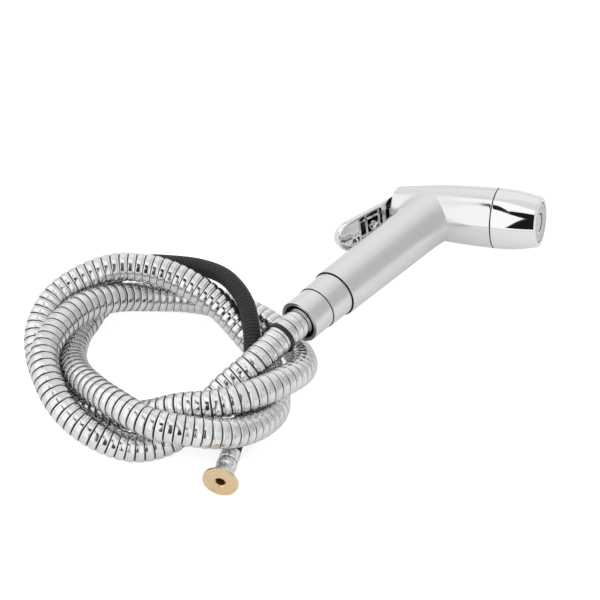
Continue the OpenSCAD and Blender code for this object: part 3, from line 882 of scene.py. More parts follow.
def gradient(field_value: Field, points: np.ndarray, step: float = 0.02) -> np.ndarray:
    """The slope of a field.

    Args:
        field_value: The field.
        points: Where it is wanted.
        step: Half of the distance between the two samples.

    Returns:
        One vector for each point.
    """
    out = np.zeros_like(points)
    for axis in range(3):
        shift = np.zeros(3)
        shift[axis] = step
        out[:, axis] = (field_value(points + shift) - field_value(points - shift)) / (2 * step)
    return out


def smooth_min(a: np.ndarray, b: np.ndarray, size: np.ndarray | float) -> np.ndarray:
    """Union of two fields with a fillet.

    Args:
        a: The first field.
        b: The second field.
        size: How far the fillet reaches.

    Returns:
        The joined field.
    """
    reach = np.maximum(size, 1e-4)
    share = np.maximum(reach - np.abs(a - b), 0) / reach
    return np.minimum(a, b) - share * share * reach * 0.25


def smooth_max(a: np.ndarray, b: np.ndarray, size: np.ndarray | float) -> np.ndarray:
    """Overlap of two fields with a rounded edge.

    Args:
        a: The first field.
        b: The second field.
        size: How far the rounding reaches.

    Returns:
        The joined field.
    """
    return -smooth_min(-a, -b, size)


@dataclass
class Piece:
    """A finished mesh that stands for some of the solids."""

    name: str
    shape: Shape
    slot: Slot
    body: Body = Body.HANDSET
    stands_for: tuple[str, ...] = ()

    def place(self, palette: Palette) -> bpy.types.Object:
        """Make the object, give it its finish and tie it to its body.

        Args:
            palette: The finishes.

        Returns:
            The new object.
        """
        mesh = bpy.data.meshes.new(self.name)
        mesh.from_pydata(self.shape.points.tolist(), [], self.shape.faces)
        mesh.validate()
        mesh.polygons.foreach_set("use_smooth", [True] * len(mesh.polygons))
        if self.shape.uvs is not None:
            layer = mesh.uv_layers.new(name=ROUTE_UV)
            corners = np.zeros(len(mesh.loops), int)
            mesh.loops.foreach_get("vertex_index", corners)
            layer.data.foreach_set("uv", self.shape.uvs[corners].ravel())
        mesh.update()
        made = bpy.data.objects.new(self.name, mesh)
        bpy.context.scene.collection.objects.link(made)
        made.data.materials.append(palette[self.slot])
        # The painted shade in grooves and pockets rides on the mesh as a point attribute
        if self.shape.groove is not None:
            layer = mesh.attributes.new(PAINTED_SHADE_LAYER, "FLOAT", "POINT")
            layer.data.foreach_set("value", self.shape.groove)
        # Faces deep in a seam get the painted seam shadow
        if self.shape.dark:
            made.data.materials.append(palette.seam)
            for index in self.shape.dark:
                mesh.polygons[index].material_index = 1
        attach(made, self.body.value)
        if self.stands_for:
            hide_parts(*self.stands_for)
        return made


def turned(
    node: str,
    profile: Profile,
    slot: Slot,
    matrix: Matrix,
    segments: int = 96,
    seams: Sequence[float] = (),
) -> Piece:
    """A turned piece that stands for one solid.

    Args:
        node: The solid's name.
        profile: The piece's outline, from its inside to its outside.
        slot: The record's slot.
        matrix: Where the piece's own frame lies.
        segments: Steps in a full turn.
        seams: Heights of the flat ends that lie in a dark seam.

    Returns:
        The piece.
    """
    shape = revolved(profile[::-1], segments, seams).moved(matrix)
    return Piece(f"{node}_skin", shape, slot, stands_for=(node,))


def shade_by_angle(made: bpy.types.Object, degrees: float) -> None:
    """Smooth a mesh except at its sharp edges.

    Args:
        made: The object.
        degrees: Edges sharper than this stay sharp.
    """
    shell = bmesh.new()
    shell.from_mesh(made.data)
    bmesh.ops.recalc_face_normals(shell, faces=shell.faces)
    limit = math.radians(degrees)
    for edge in shell.edges:
        edge.smooth = len(edge.link_faces) == 2 and edge.calc_face_angle(0.0) < limit
    for face in shell.faces:
        face.smooth = True
    shell.to_mesh(made.data)
    shell.free()


# --------------------------------------------------------------------------
# Where the handset and its hose lie
# --------------------------------------------------------------------------


@dataclass(frozen=True)
class HandsetSizes:
    """The handset's main sizes, in millimetres along its own axes."""

    sleeve_len: float = 14.7
    ring_len: float = 16.0
    handle_len: float = 94.0
    handle_base_r: float = 13.8
    handle_top_r: float = 12.9
    handle_lean: float = 2.0
    collar_step: float = 0.9
    head_angle: float = 71.0
    rear_len: float = 23.0
    front_len: float = 37.4
    rear_r: float = 12.5
    front_r: float = 17.3
    swell: float = 1.1
    cap_len: float = 24.8
    cap_face_r: float = 14.2
    seam: float = 0.4
    close_seam: float = 0.1
    pin_back: float = 17.0
    pin_low: float = 5.0
    lever_rake: float = 14.5

    @property
    def ring_seam(self) -> float:
        """Height of the seam under the collar ring."""
        return self.sleeve_len

    @property
    def handle_seam(self) -> float:
        """Height of the seam under the handle."""
        return self.sleeve_len + self.ring_len

    @property
    def head_height(self) -> float:
        """Height of the head's axis on the handle's axis."""
        return self.handle_seam + self.handle_len


class HandsetFrame:
    """Finds the handset's own axes from the joints in the record."""

    def __init__(self, joints: list[dict], sizes: HandsetSizes) -> None:
        """Read the joints.

        Args:
            joints: The record's joints.
            sizes: The handset's sizes.
        """
        by_name = {joint["name"]: joint for joint in joints}
        ahead = Vector(by_name["poppet_slide"]["axis"]).normalized()
        front = Vector(by_name["stem_slide"]["axis"]).normalized()
        side = ahead.cross(front).normalized()
        turn = Matrix((front, side, ahead)).transposed()
        angle = math.radians(sizes.head_angle)
        spray = Matrix.Translation((0, 0, sizes.head_height)) @ Matrix.Rotation(angle, 4, "Y")
        pin = spray @ Vector((sizes.pin_low, 0, -sizes.pin_back))
        mouth = Vector(by_name["lever_press"]["pos_m"]) - turn @ (pin * MM)
        self.sizes = sizes
        self.hand = Matrix.Translation(mouth) @ turn.to_4x4()
        self.spray_local = spray
        self.lever_local = (
            spray
            @ Matrix.Translation((0, 0, -sizes.rear_len))
            @ Matrix.Rotation(math.pi + math.radians(sizes.lever_rake) - angle, 4, "Y")
        )

    def in_hand(self, local: Matrix | None = None) -> Matrix:
        """A matrix from a handset sub-frame, in millimetres, to the solids' frame.

        Args:
            local: The sub-frame in the handset's frame.

        Returns:
            The matrix, whose own scale is one.
        """
        if local is None:
            return self.hand.copy()
        scaled = local.copy()
        scaled.translation = local.translation * MM
        return self.hand @ scaled


@dataclass(frozen=True)
class HosePoints:
    """The hose's route: its middle, point by point, in millimetres."""

    start_heights: tuple[float, ...] = (32.4, 20.3, 8.0, -3.0, -14.0)
    metal: tuple[tuple[float, float, float], ...] = (
        (-89, -84, 29), (-105, -96, 22), (-119, -108, 13), (-135, -120, 8.6),
        (-153, -125, 9.2), (-172, -121, 15), (-188, -109, 20), (-198, -92, 24),
        (-201, -73, 26), (-194, -55, 27), (-182, -40, 26), (-166, -29, 21),
        (-148, -21, 13), (-129, -18, 9), (-111, -21, 8.2), (-94, -28, 8.2),
        (-78, -41, 8.1), (-66, -59, 9), (-64, -78, 18), (-74, -94, 26),
        (-89, -106, 30), (-108, -113, 30), (-128, -113, 27), (-146, -112, 20),
        (-165, -106, 13), (-182, -98, 8.5), (-197, -84, 8.5), (-205, -66, 10),
        (-207, -47, 15), (-199, -30, 22), (-183, -20, 28), (-164, -15, 31),
        (-144, -17, 30), (-125, -24, 26), (-109, -34, 20), (-96, -47, 14),
        (-84, -63, 9), (-79, -83, 8.2), (-79, -102, 11), (-90, -119, 18),
        (-105, -129, 25), (-124, -131, 30), (-143, -127, 32), (-160, -115, 32),
        (-173, -101, 28), (-183, -85, 22), (-188, -66, 14), (-187, -47, 10),
        (-182, -34, 9), (-177, -21, 9),
    )
    tail: tuple[tuple[float, float, float], ...] = (
        (-172, -8, 9), (-165, 2, 9), (-152, 6, 12), (-136, -1, 19),
        (-119, -8, 23), (-105, -20, 27), (-95, -38, 28), (-91, -58, 25),
        (-91, -79, 16), (-94, -99, 9.5),
    )
    end_at: tuple[float, float, float] = (-101, -128, 8.2)
    end_heading: float = 256.0
    end_rise: float = 4.4
    end_steps: tuple[float, ...] = (-4.0, 8.0, 20.0)
    tail_len: float = 220.0
    metal_start: float = 12.3

    @property
    def end_dir(self) -> Vector:
        """The way that the hose's free end points."""
        return toward(self.end_heading, self.end_rise)


class Route:
    """A smooth curve through the hose's points, measured along its length."""

    STEPS = 12
    HALF_STEP = 1.5

    def __init__(self, frame: HandsetFrame, points: HosePoints) -> None:
        """Work the curve out.

        Args:
            frame: Where the handset lies.
            points: The hose's points.
        """
        start = [frame.hand @ (Vector((0, 0, h)) * MM) / MM for h in points.start_heights]
        stop = [Vector(points.end_at) + points.end_dir * step for step in points.end_steps]
        chain = np.array([list(p) for p in [*start, *points.metal, *points.tail, *stop]], float)
        spots = []
        for i in range(1, len(chain) - 2):
            a, b, c, d = chain[i - 1 : i + 3]
            for j in range(self.STEPS):
                t = j / self.STEPS
                square = (2 * a - 5 * b + 4 * c - d) * t**2
                cube = (3 * b - a - 3 * c + d) * t**3
                spots.append(0.5 * (2 * b + (c - a) * t + square + cube))
        spots.append(chain[-2])
        self._spots = np.array(spots)
        gaps = np.linalg.norm(np.diff(self._spots, axis=0), axis=1)
        self._at = np.concatenate([[0.0], np.cumsum(gaps)])
        self.length = float(self._at[-1])
        self.metal_start = points.metal_start
        self.metal_stop = self.length - points.tail_len

    def at(self, where: np.ndarray) -> np.ndarray:
        """Points on the curve.

        Args:
            where: Distances along the hose.

        Returns:
            One point for each distance.
        """
        return np.stack([np.interp(where, self._at, self._spots[:, k]) for k in range(3)], axis=1)

    def frames(self, where: np.ndarray) -> tuple[np.ndarray, np.ndarray, np.ndarray]:
        """Points and the two directions across the hose there.

        Args:
            where: Distances along the hose.

        Returns:
            Points, sideways directions and upward directions.
        """
        after = self.at(np.minimum(where + self.HALF_STEP, self.length))
        ahead = after - self.at(np.maximum(where - self.HALF_STEP, 0))
        ahead /= np.linalg.norm(ahead, axis=1)[:, None]
        side = np.cross(ahead, np.array([0.0, 0.0, 1.0]))
        side /= np.linalg.norm(side, axis=1)[:, None]
        return self.at(where), side, np.cross(side, ahead)

    def swept(
        self, where: np.ndarray, radii: np.ndarray, sides: int, ahead: np.ndarray | float = 0.0
    ) -> Shape:
        """A tube round the curve.

        Args:
            where: Distance of each ring.
            radii: Radius of each ring.
            sides: Points in a ring.
            ahead: How far each ring then moves straight on.

        Returns:
            The tube in metres, with its way round and length as UVs.
        """
        spots, side, up = self.frames(where)
        spots = spots + np.cross(up, side) * np.reshape(ahead * np.ones(len(where)), (-1, 1))
        angle = 2 * math.pi * np.arange(sides + 1) / sides
        sideways = np.cos(angle)[None, :, None] * side[:, None]
        across = sideways + np.sin(angle)[None, :, None] * up[:, None]
        points = spots[:, None] + across * radii[:, None, None]
        width = sides + 1
        faces = [
            (i * width + k, i * width + k + 1, (i + 1) * width + k + 1, (i + 1) * width + k)
            for i in range(len(where) - 1)
            for k in range(sides)
        ]
        around = np.broadcast_to(angle / (2 * math.pi), (len(where), width))
        along = np.broadcast_to((where * MM)[:, None], (len(where), width))
        uvs = np.stack([around, along], axis=-1).reshape(-1, 2)
        return Shape(points.reshape(-1, 3) * MM, [f[::-1] for f in faces], uvs)


# --------------------------------------------------------------------------
# Sub-assemblies
# --------------------------------------------------------------------------


@dataclass
class MetalHose:
    """The strip-wound metal hose."""

    outer_r: float = 8.0
    rib_pitch: float = 4.5
    groove: float = 0.8
    stiff: float = 0.5
    sides: int = 40
    # One turn of the strip: share of the pitch, share of the groove's depth, and its painted shade
    rib: tuple[tuple[float, float, float], ...] = (
        (0.00, 1.00, 1.0), (0.05, 1.00, 1.0), (0.065, 0.40, 0.8), (0.085, 0.14, 0.2),
        (0.12, 0.02, 0.0), (0.20, 0.00, 0.0), (0.60, 0.00, 0.0), (0.66, 0.03, 0.0),
        (0.695, 0.12, 0.0), (0.715, 0.30, 0.35), (0.74, 0.36, 0.1), (0.93, 0.38, 0.0),
        (0.955, 0.48, 0.3), (0.98, 0.85, 0.9),
    )
    path_points: int = 260

    def build(self, route: Route, palette: Palette) -> bpy.types.Object:
        """Make the hose.

        Args:
            route: The hose's route.
            palette: The finishes.

        Returns:
            The hose.
        """
        length = route.metal_stop - route.metal_start
        count = round(length / self.rib_pitch)
        pitch = length / count
        rows = [(i, *row) for i in range(count) for row in self.rib]
        rows.append((count - 1, 1.0, 1.0, 1.0))
        turn, share, depth, dark = np.array(rows).T
        where = route.metal_start + (turn + share) * pitch
        middle = route.metal_start + (turn + 0.5) * pitch
        radii = self.outer_r - self.groove * depth
        shape = route.swept(where, radii, self.sides)
        rigid = route.swept(middle, radii, self.sides, where - middle)
        width = self.sides + 1
        shape.points = (1 - self.stiff) * shape.points + self.stiff * rigid.points
        shape.uvs[:, 1] = np.repeat(turn + 0.5, width)
        # Painted shade for each groove, from the rib table's last column
        shape.groove = np.repeat(dark, width)
        skin = Piece("metal_hose_skin", shape, Slot.HOSE_STEEL, stands_for=("metal_hose",))
        hose = skin.place(palette)
        where = np.linspace(route.metal_start, route.metal_stop, self.path_points)
        return hose


@dataclass
class BraidedHose:
    """The black braided hose inside the metal one, and its bare end."""

    outer_r: float = 4.75
    sides: int = 32
    rings: int = 120
    inside: float = 6.0

    def build(self, route: Route, palette: Palette) -> bpy.types.Object:
        """Make the hose.

        Args:
            route: The hose's route.
            palette: The finishes.

        Returns:
            The hose.
        """
        start = route.metal_stop - self.inside
        where = np.linspace(start, route.length, self.rings)
        shape = route.swept(where, np.full(len(where), self.outer_r), self.sides)
        skin = Piece("braided_hose_skin", shape, Slot.BLACK_BRAID, stands_for=("braided_hose",))
        hose = skin.place(palette)
        return hose


@dataclass
class HandleShell:
    """The handle and head casting."""

    sizes: HandsetSizes
    throat_r: float = 60.0
    throat_shift: float = 4.2
    throat_rim_r: float = 13.2
    throat_rise: float = 14.0
    throat_top: float = 11.3
    fillet: float = 7.0
    crease_from: float = 7.5
    cell: float = 0.6
    lip: float = 1.2
    slot_half: float = 5.0
    slot_depth: float = 3.9
    slot_reach: float = 4.3
    slot_taper: float = 0.1
    flare_taper: float = 0.12
    flare_sink: float = 2.0
    flare_round: float = 1.5
    top_round: float = 0.5
    rear_round: float = 1.6
    crease_fade: float = 8.0
    crease_limit: float = 0.02
    fillet_limit: float = 1.2
    foot_bore_r: float = 10.6
    foot_round: float = 0.6
    front_bore_r: float = 13.6
    front_round: float = 0.35
    box_low: tuple[float, float, float] = (-32.0, -20.0, -2.0)
    box_high: tuple[float, float, float] = (46.0, 20.0, 34.0)
    out_of_reach: float = 9.0

    def handle_r(self, height: np.ndarray | float) -> np.ndarray | float:
        """Radius of the handle.

        Args:
            height: Height along the handle's axis.

        Returns:
            The radius there.
        """
        s = self.sizes
        swell = s.handle_top_r + s.handle_lean - s.handle_base_r
        return s.handle_base_r + swell * (height - s.handle_seam) / s.handle_len

    def flare_r(self, height: np.ndarray | float) -> np.ndarray | float:
        """Radius of the flare under the head, about its own shifted axis.

        Args:
            height: Height along the handle's axis.

        Returns:
            The radius there.
        """
        low = self.sizes.head_height - self.throat_top - self.throat_rise
        rise = np.clip(height - low, 0, self.throat_rise)
        foot = self.throat_rim_r - self.throat_r + math.sqrt(self.throat_r**2 - self.throat_rise**2)
        flare = foot + self.throat_r - np.sqrt(self.throat_r**2 - rise**2)
        return flare - self.flare_taper * np.maximum(low - height, 0)

    def barrel_r(self, along: np.ndarray | float) -> np.ndarray | float:
        """Radius of the head.

        Args:
            along: Distance along the spray axis.

        Returns:
            The radius there.
        """
        s = self.sizes
        share = (along + s.rear_len) / (s.rear_len + s.front_len)
        swell = s.swell * np.sin(np.pi * np.clip(share, 0, 1))
        return s.rear_r + (s.front_r - s.rear_r) * share + swell

    def spray_axes(self, points: np.ndarray) -> tuple[np.ndarray, np.ndarray]:
        """Places along and across the spray axis, in the handset's middle plane.

        Args:
            points: Points in the handset's frame.

        Returns:
            Distances along the axis, and across it.
        """
        s = self.sizes
        angle = math.radians(s.head_angle)
        x, dz = points[:, 0], points[:, 2] - s.head_height
        along = x * math.sin(angle) + dz * math.cos(angle)
        return along, x * math.cos(angle) - dz * math.sin(angle)

    def handle(self, points: np.ndarray) -> np.ndarray:
        """Signed distance to the handle and its flare.

        Args:
            points: Points in the handset's frame.

        Returns:
            The distance at each point.
        """
        s = self.sizes
        x, y, z = points.T
        lean = s.handle_lean * (z - s.handle_seam) / s.handle_len
        side = np.hypot(x - lean, y) - self.handle_r(z)
        cone = smooth_max(side, z - s.head_height, self.top_round)
        flare = np.hypot(x - self.throat_shift, y) - self.flare_r(z)
        flare = np.maximum(flare, z - (s.head_height - self.flare_sink))
        return smooth_min(cone, flare, self.flare_round)

    def head(self, points: np.ndarray) -> np.ndarray:
        """Signed distance to the head.

        Args:
            points: Points in the handset's frame.

        Returns:
            The distance at each point.
        """
        along, across = self.spray_axes(points)
        barrel = np.hypot(across, points[:, 1]) - self.barrel_r(along)
        return smooth_max(barrel, -self.sizes.rear_len - along, self.rear_round)

    def slot(self, points: np.ndarray) -> np.ndarray:
        """Signed distance to the slot that the lever's tongue turns in.

        Args:
            points: Points in the handset's frame.

        Returns:
            The distance at each point.
        """
        along, across = self.spray_axes(points)
        back, behind = across - self.sizes.pin_low, along + self.sizes.pin_back
        lean = self.slot_taper * np.maximum(-behind, 0)
        wedge = np.maximum(np.abs(back - lean) - self.slot_reach, behind - self.slot_depth)
        return np.maximum(wedge, np.abs(points[:, 1]) - self.slot_half)

    def softness(self, points: np.ndarray) -> np.ndarray:
        """How far the handle's meeting with the head is filleted.

        Args:
            points: Points in the handset's frame.

        Returns:
            From 0 at the sharp crease in front to 1 at the back.
        """
        share = np.clip((self.crease_from - points[:, 0]) / self.crease_fade, 0, 1)
        return share * share * (3 - 2 * share)

    def cover(self, points: np.ndarray) -> np.ndarray:
        """Signed distance to the handle and the head together.

        Args:
            points: Points in the handset's frame.

        Returns:
            The distance at each point.
        """
        x, y, _ = points.T
        _, across = self.spray_axes(points)
        product = x * across * math.cos(math.radians(self.sizes.head_angle)) + y * y
        level = product / np.maximum(np.hypot(x, y) * np.hypot(across, y), 1.0)
        reach = self.fillet * self.softness(points) * np.clip(1 - level, 0, self.fillet_limit)
        return smooth_min(self.handle(points), self.head(points), reach)

    def field(self, points: np.ndarray) -> np.ndarray:
        """Signed distance to the casting, with its slot.

        Args:
            points: Points in the handset's frame.

        Returns:
            The distance at each point.
        """
        return np.maximum(self.cover(points), -self.slot(points))

    def build(self, frame: HandsetFrame, palette: Palette) -> list[bpy.types.Object]:
        """Make the casting.

        Args:
            frame: Where the handset lies.
            palette: The finishes.

        Returns:
            The casting and its edge lips.
        """
        s = self.sizes

        def creased_handle(points: np.ndarray) -> np.ndarray:
            soft = self.softness(points) > self.crease_limit
            return self.handle(points) + self.out_of_reach * soft

        low = np.array(self.box_low) + (0, 0, s.handle_seam)
        high = np.array(self.box_high) + (0, 0, s.head_height)
        creases = ((creased_handle, self.head), (self.cover, self.slot))
        shape = surface_of(self.field, low, high, self.cell, creases)
        hand, head = frame.in_hand(), frame.in_hand(frame.spray_local)
        satin = Slot.SATIN_CHROME
        skin = Piece("handle_skin", shape.moved(hand), satin, stands_for=("handle_shell",))
        made = skin.place(palette)
        ahead = frame.hand.to_3x3() @ Vector((0, 0, 1))
        spray = (frame.hand.to_3x3() @ frame.spray_local.to_3x3()) @ Vector((0, 0, 1))
        self._trim(made, hand @ Vector((0, 0, (s.handle_seam + self.lip) * MM)), ahead)
        self._trim(made, head.translation + spray * (s.front_len - self.lip) * MM, -spray)
        take_normals(made, self.field, hand)
        foot_top, front_back = s.handle_seam + self.lip, s.front_len - self.lip
        foot: Profile = [
            (self.foot_bore_r, s.handle_seam),
            (s.handle_base_r, s.handle_seam),
            (float(self.handle_r(foot_top)), foot_top),
        ]
        front: Profile = [
            (float(self.barrel_r(front_back)), front_back),
            (float(self.barrel_r(s.front_len)), s.front_len),
            (self.front_bore_r, s.front_len),
        ]
        foot_shape = revolved(rounded(foot, {1: self.foot_round})[::-1], 96, [s.handle_seam])
        front_shape = revolved(rounded(front, {1: self.front_round})[::-1], 160, [s.front_len])
        rims = [
            Piece("handle_foot_lip", foot_shape.moved(hand), satin),
            Piece("head_front_lip", front_shape.moved(head), satin),
        ]
        return [made, *(rim.place(palette) for rim in rims)]

    @staticmethod
    def _trim(made: bpy.types.Object, point: Vector, keep: Vector) -> None:
        """Cut a mesh off at a plane.

        Args:
            made: The object.
            point: A point on the plane.
            keep: The side that stays.
        """
        shell = bmesh.new()
        shell.from_mesh(made.data)
        bmesh.ops.bisect_plane(
            shell,
            geom=[*shell.verts, *shell.edges, *shell.faces],
            plane_co=point,
            plane_no=keep,
            clear_inner=True,
        )
        shell.to_mesh(made.data)
        shell.free()


@dataclass
class NozzleCap:
    """The chrome nozzle cap with its rounded front rim."""

    sizes: HandsetSizes
    swell: float = 0.9
    edge_r: float = 1.2
    edge_steps: int = 8
    opening_r: float = 11.5
    lip: float = 2.2
    bore_r: float = 13.4
    side_steps: int = 24
    side_share: float = 0.95
    segments: int = 160

    def radius(self, share: float) -> float:
        """Radius of the cap's side.

        Args:
            share: From 0 at the seam to 1 at the face.

        Returns:
            The radius there.
        """
        s = self.sizes
        swell = self.swell * math.sin(math.pi * share)
        return s.front_r + (s.cap_face_r - s.front_r) * share + swell

    def build(self, frame: HandsetFrame, palette: Palette) -> bpy.types.Object:
        """Make the cap.

        Args:
            frame: Where the handset lies.
            palette: The finishes.

        Returns:
            The cap.
        """
        s = self.sizes
        start = s.front_len + s.seam
        stop = start + s.cap_len
        shares = [i / self.side_steps * self.side_share for i in range(self.side_steps + 1)]
        side = [(self.radius(share), start + share * s.cap_len) for share in shares]
        outline = [
            (self.bore_r, start), *side, (s.cap_face_r, stop),
            (self.opening_r, stop), (self.opening_r, stop - self.lip),
        ]
        edges = {1: 0.35, len(side) + 1: self.edge_r, len(side) + 2: 0.3}
        outline = rounded(outline, edges, self.edge_steps)
        head = frame.in_hand(frame.spray_local)
        cap = turned("nozzle_cap", outline, Slot.CHROME, head, self.segments, [start])
        return cap.place(palette)


@dataclass
class CollarAndSleeve:
    """The collar ring and the hose sleeve below it."""

    sizes: HandsetSizes
    ring_r: float = 12.45
    sleeve_r: float = 12.0
    sleeve_wall: float = 1.5
    mouth_r: float = 10.0
    grommet_r: float = 8.2

    def build(self, frame: HandsetFrame, palette: Palette) -> list[bpy.types.Object]:
        """Make the covers and the grommet in the sleeve's mouth.

        Args:
            frame: Where the handset lies.
            palette: The finishes.

        Returns:
            The ring, the sleeve and the grommet.
        """
        s = self.sizes
        low, high = s.ring_seam + s.close_seam, s.handle_seam - s.seam
        top_r, wall_top = s.handle_base_r - s.collar_step, 7.0
        ring = rounded(
            [(10.2, low), (self.ring_r, low), (top_r, high), (10.8, high)], {1: 0.3, 2: 0.35}
        )
        bore = self.sleeve_r - self.sleeve_wall
        sleeve = rounded(
            [
                (bore, wall_top), (bore, 2.6), (self.mouth_r, 2.2), (self.mouth_r, 0.0),
                (self.sleeve_r, 0.0), (self.sleeve_r, s.sleeve_len), (10.4, s.sleeve_len),
            ],
            {3: 0.3, 4: 0.45, 5: 0.3},
        )
        grommet = rounded(
            [
                (self.grommet_r, wall_top), (self.grommet_r, 4.2),
                (self.mouth_r - 0.25, 0.6), (self.mouth_r - 0.02, 0.6),
            ],
            {1: 1.0, 2: 0.3},
        )
        matrix = frame.in_hand()
        pieces = (
            turned("collar_ring", ring, Slot.SATIN_CHROME, matrix, seams=[low, high]),
            turned("hose_sleeve", sleeve, Slot.SATIN_CHROME, matrix, seams=[s.sleeve_len]),
            turned("sleeve_grommet", grommet, Slot.BLACK_RUBBER, matrix),
        )
        return [piece.place(palette) for piece in pieces]


@dataclass
class Lever:
    """The hollow thumb lever."""

    sizes: HandsetSizes
    length: float = 35.5
    root_half: float = 11.5
    tip_half: float = 9.8
    depth: float = 4.9
    wall: float = 1.4
    crown: float = 2.1
    crown_r: float = 19.0
    rib_t: float = 1.5
    ribs: tuple[float, ...] = (9.4, 15.0, 24.0, 29.0)
    tongue_half: float = 4.5
    hub_r: float = 3.4
    pin_r: float = 1.31
    boss_r: float = 3.0
    boss_tip: float = -18.7
    valve_height: float = 96.7
    back_round: float = 3.4
    rim_round: float = 0.9
    hollow_round: float = 5.0
    hollow_rim_round: float = 0.6
    rib_round: float = 0.5
    rib_sink: float = 0.6
    wall_sink: float = 1.6
    wall_place: float = 5.0
    skin: float = 0.5
    end_wall_t: float = 1.4
    swing: float = 11.0
    clearance: float = 0.5
    pocket_reach: float = 1.6
    cell: float = 0.28

    # Where the painted pocket shade starts, and how far it fades: in depth, width and length
    POCKET_RIM = (1.4, 0.7, 0.2)
    POCKET_FADE = (2.4, 0.4, 0.5)

    def outline(self, across: np.ndarray, along: np.ndarray, inset: float) -> np.ndarray:
        """Distance to the lever's outline, seen from its back.

        Args:
            across: Distance from the middle line.
            along: Distance from the root.
            inset: How far the outline is drawn in.

        Returns:
            The distance, negative inside.
        """
        slope = (self.root_half - self.tip_half) / self.length
        side = (np.abs(across) - (self.root_half - slope * along)) * math.cos(math.atan(slope))
        tip = np.hypot(across, np.maximum(along - self.length, 0)) - self.tip_half
        return np.where(along < self.length, side, tip) + inset

    def dome(self, points: np.ndarray) -> np.ndarray:
        """Signed distance to the lever's domed back.

        Args:
            points: Points in the lever's frame.

        Returns:
            The distance at each point.
        """
        x, y, _ = points.T
        return np.hypot(x - self.crown + self.crown_r, y) - self.crown_r

    def outer(self, points: np.ndarray) -> np.ndarray:
        """Signed distance to the lever's outside, as if it were solid.

        Args:
            points: Points in the lever's frame.

        Returns:
            The distance at each point.
        """
        x, y, z = points.T
        outer = smooth_max(self.outline(y, z, 0.0), self.dome(points), self.back_round)
        return smooth_max(outer, -self.depth - x, self.rim_round)

    def painted_pocket_shade(self, points: np.ndarray) -> np.ndarray:
        """How much painted shade lies deep in the pockets between the ribs.

        Args:
            points: Points in the lever's frame.

        Returns:
            From 0 on the outside and the rims to 1 at the pockets' floors.
        """
        x, _, z = points.T
        rim, fade = self.POCKET_RIM, self.POCKET_FADE
        deep = np.clip((x + self.depth - rim[0]) / fade[0], 0, 1)
        inside = np.clip((-rim[1] - self.outer(points)) / fade[1], 0, 1)
        near_ribs = np.clip((max(self.ribs) + rim[2] - z) / fade[2], 0, 1)
        return deep * inside * near_ribs

    def field(self, points: np.ndarray) -> np.ndarray:
        """Signed distance to the lever.

        Args:
            points: Points in the lever's frame.

        Returns:
            The distance at each point.
        """
        x, y, z = points.T
        half = self.rib_t / 2
        outer = self.outer(points)
        inset = self.outline(y, z, self.wall)
        hollow = smooth_max(inset, self.dome(points) + self.wall, self.hollow_round)
        shell = smooth_max(outer, -hollow, self.hollow_rim_round)
        ribs = np.min([np.abs(z - rib - half) for rib in self.ribs], axis=0) - half
        ribs = np.maximum(ribs, -self.depth + self.rib_sink - x)
        walls = np.maximum(np.abs(np.abs(y) - self.wall_place) - half, z - max(self.ribs))
        walls = np.maximum(walls, -self.depth + self.wall_sink - x)
        inner = np.maximum(np.minimum(ribs, walls), outer + self.skin)
        return smooth_min(shell, inner, self.rib_round)

    def relief(self, points: np.ndarray, frame: HandsetFrame) -> np.ndarray:
        """Distance to the space that the head's rear end sweeps.

        Args:
            points: Points in the lever's frame.
            frame: Where the handset lies.

        Returns:
            The distance, negative in that space.
        """
        s = self.sizes
        spray = carried(points, frame.spray_local.inverted() @ frame.lever_local)
        at_rest = -(s.rear_len + self.clearance) - spray[:, 2]
        turn = math.radians(self.swing)
        dx, dz = spray[:, 0] - s.pin_low, spray[:, 2] + s.pin_back
        swung = math.sin(turn) * dx + math.cos(turn) * dz
        pressed = -(s.rear_len - s.pin_back + self.clearance) - swung
        return np.minimum(at_rest, pressed)

    def build(self, frame: HandsetFrame, palette: Palette) -> bpy.types.Object:
        """Make the lever.

        Args:
            frame: Where the handset lies.
            palette: The finishes.

        Returns:
            The lever.
        """
        s = self.sizes
        to_spray = frame.spray_local.inverted() @ frame.lever_local

        def tongue(points: np.ndarray) -> np.ndarray:
            x, y, z = carried(points, to_spray).T
            from_pin = np.hypot(x - s.pin_low, z + s.pin_back)
            strip = np.maximum(np.abs(x - s.pin_low) - self.hub_r, z + s.pin_back)
            strip = np.maximum(strip, -s.rear_len - 4.0 - z)
            strip = smooth_max(strip, self.dome(points) + 0.4, 0.3)
            whole = np.minimum(from_pin - self.hub_r, strip)
            whole = smooth_max(whole, np.abs(y) - self.tongue_half, 0.5)
            return np.maximum(whole, self.pin_r - from_pin)

        def boss(points: np.ndarray) -> np.ndarray:
            x, y, z = carried(points, frame.lever_local).T
            rod = np.hypot(y, z - self.valve_height) - self.boss_r
            rod = smooth_max(rod, x - self.boss_tip, 0.8)
            return np.maximum(rod, self.dome(points) + 0.6)

        def solid(points: np.ndarray) -> np.ndarray:
            relief = self.relief(points, frame)
            half = self.end_wall_t / 2
            end_wall = np.maximum(np.abs(relief - half) - half, self.outer(points) + 0.1)
            shell = smooth_max(smooth_min(self.field(points), end_wall, 0.4), -relief, 0.3)
            return smooth_min(smooth_min(shell, tongue(points), 0.6), boss(points), 0.6)

        reach = self.root_half + 1.5
        high = (self.crown + 1.0, reach, self.length + self.tip_half + 1.5)
        shape = surface_of(solid, (-13.0, -reach, -6.0), high, self.cell)
        # Painted shade on the pockets' floors, faded out near the space that the head's rear end
        # sweeps
        clear = np.clip(self.relief(shape.points, frame) - self.pocket_reach, 0, 1)
        shape.groove = self.painted_pocket_shade(shape.points) * clear
        matrix = frame.in_hand(frame.lever_local)
        skin = Piece("lever_skin", shape.moved(matrix), Slot.CHROME, Body.LEVER, ("lever",))
        made = skin.place(palette)
        take_normals(made, solid, matrix)
        return made


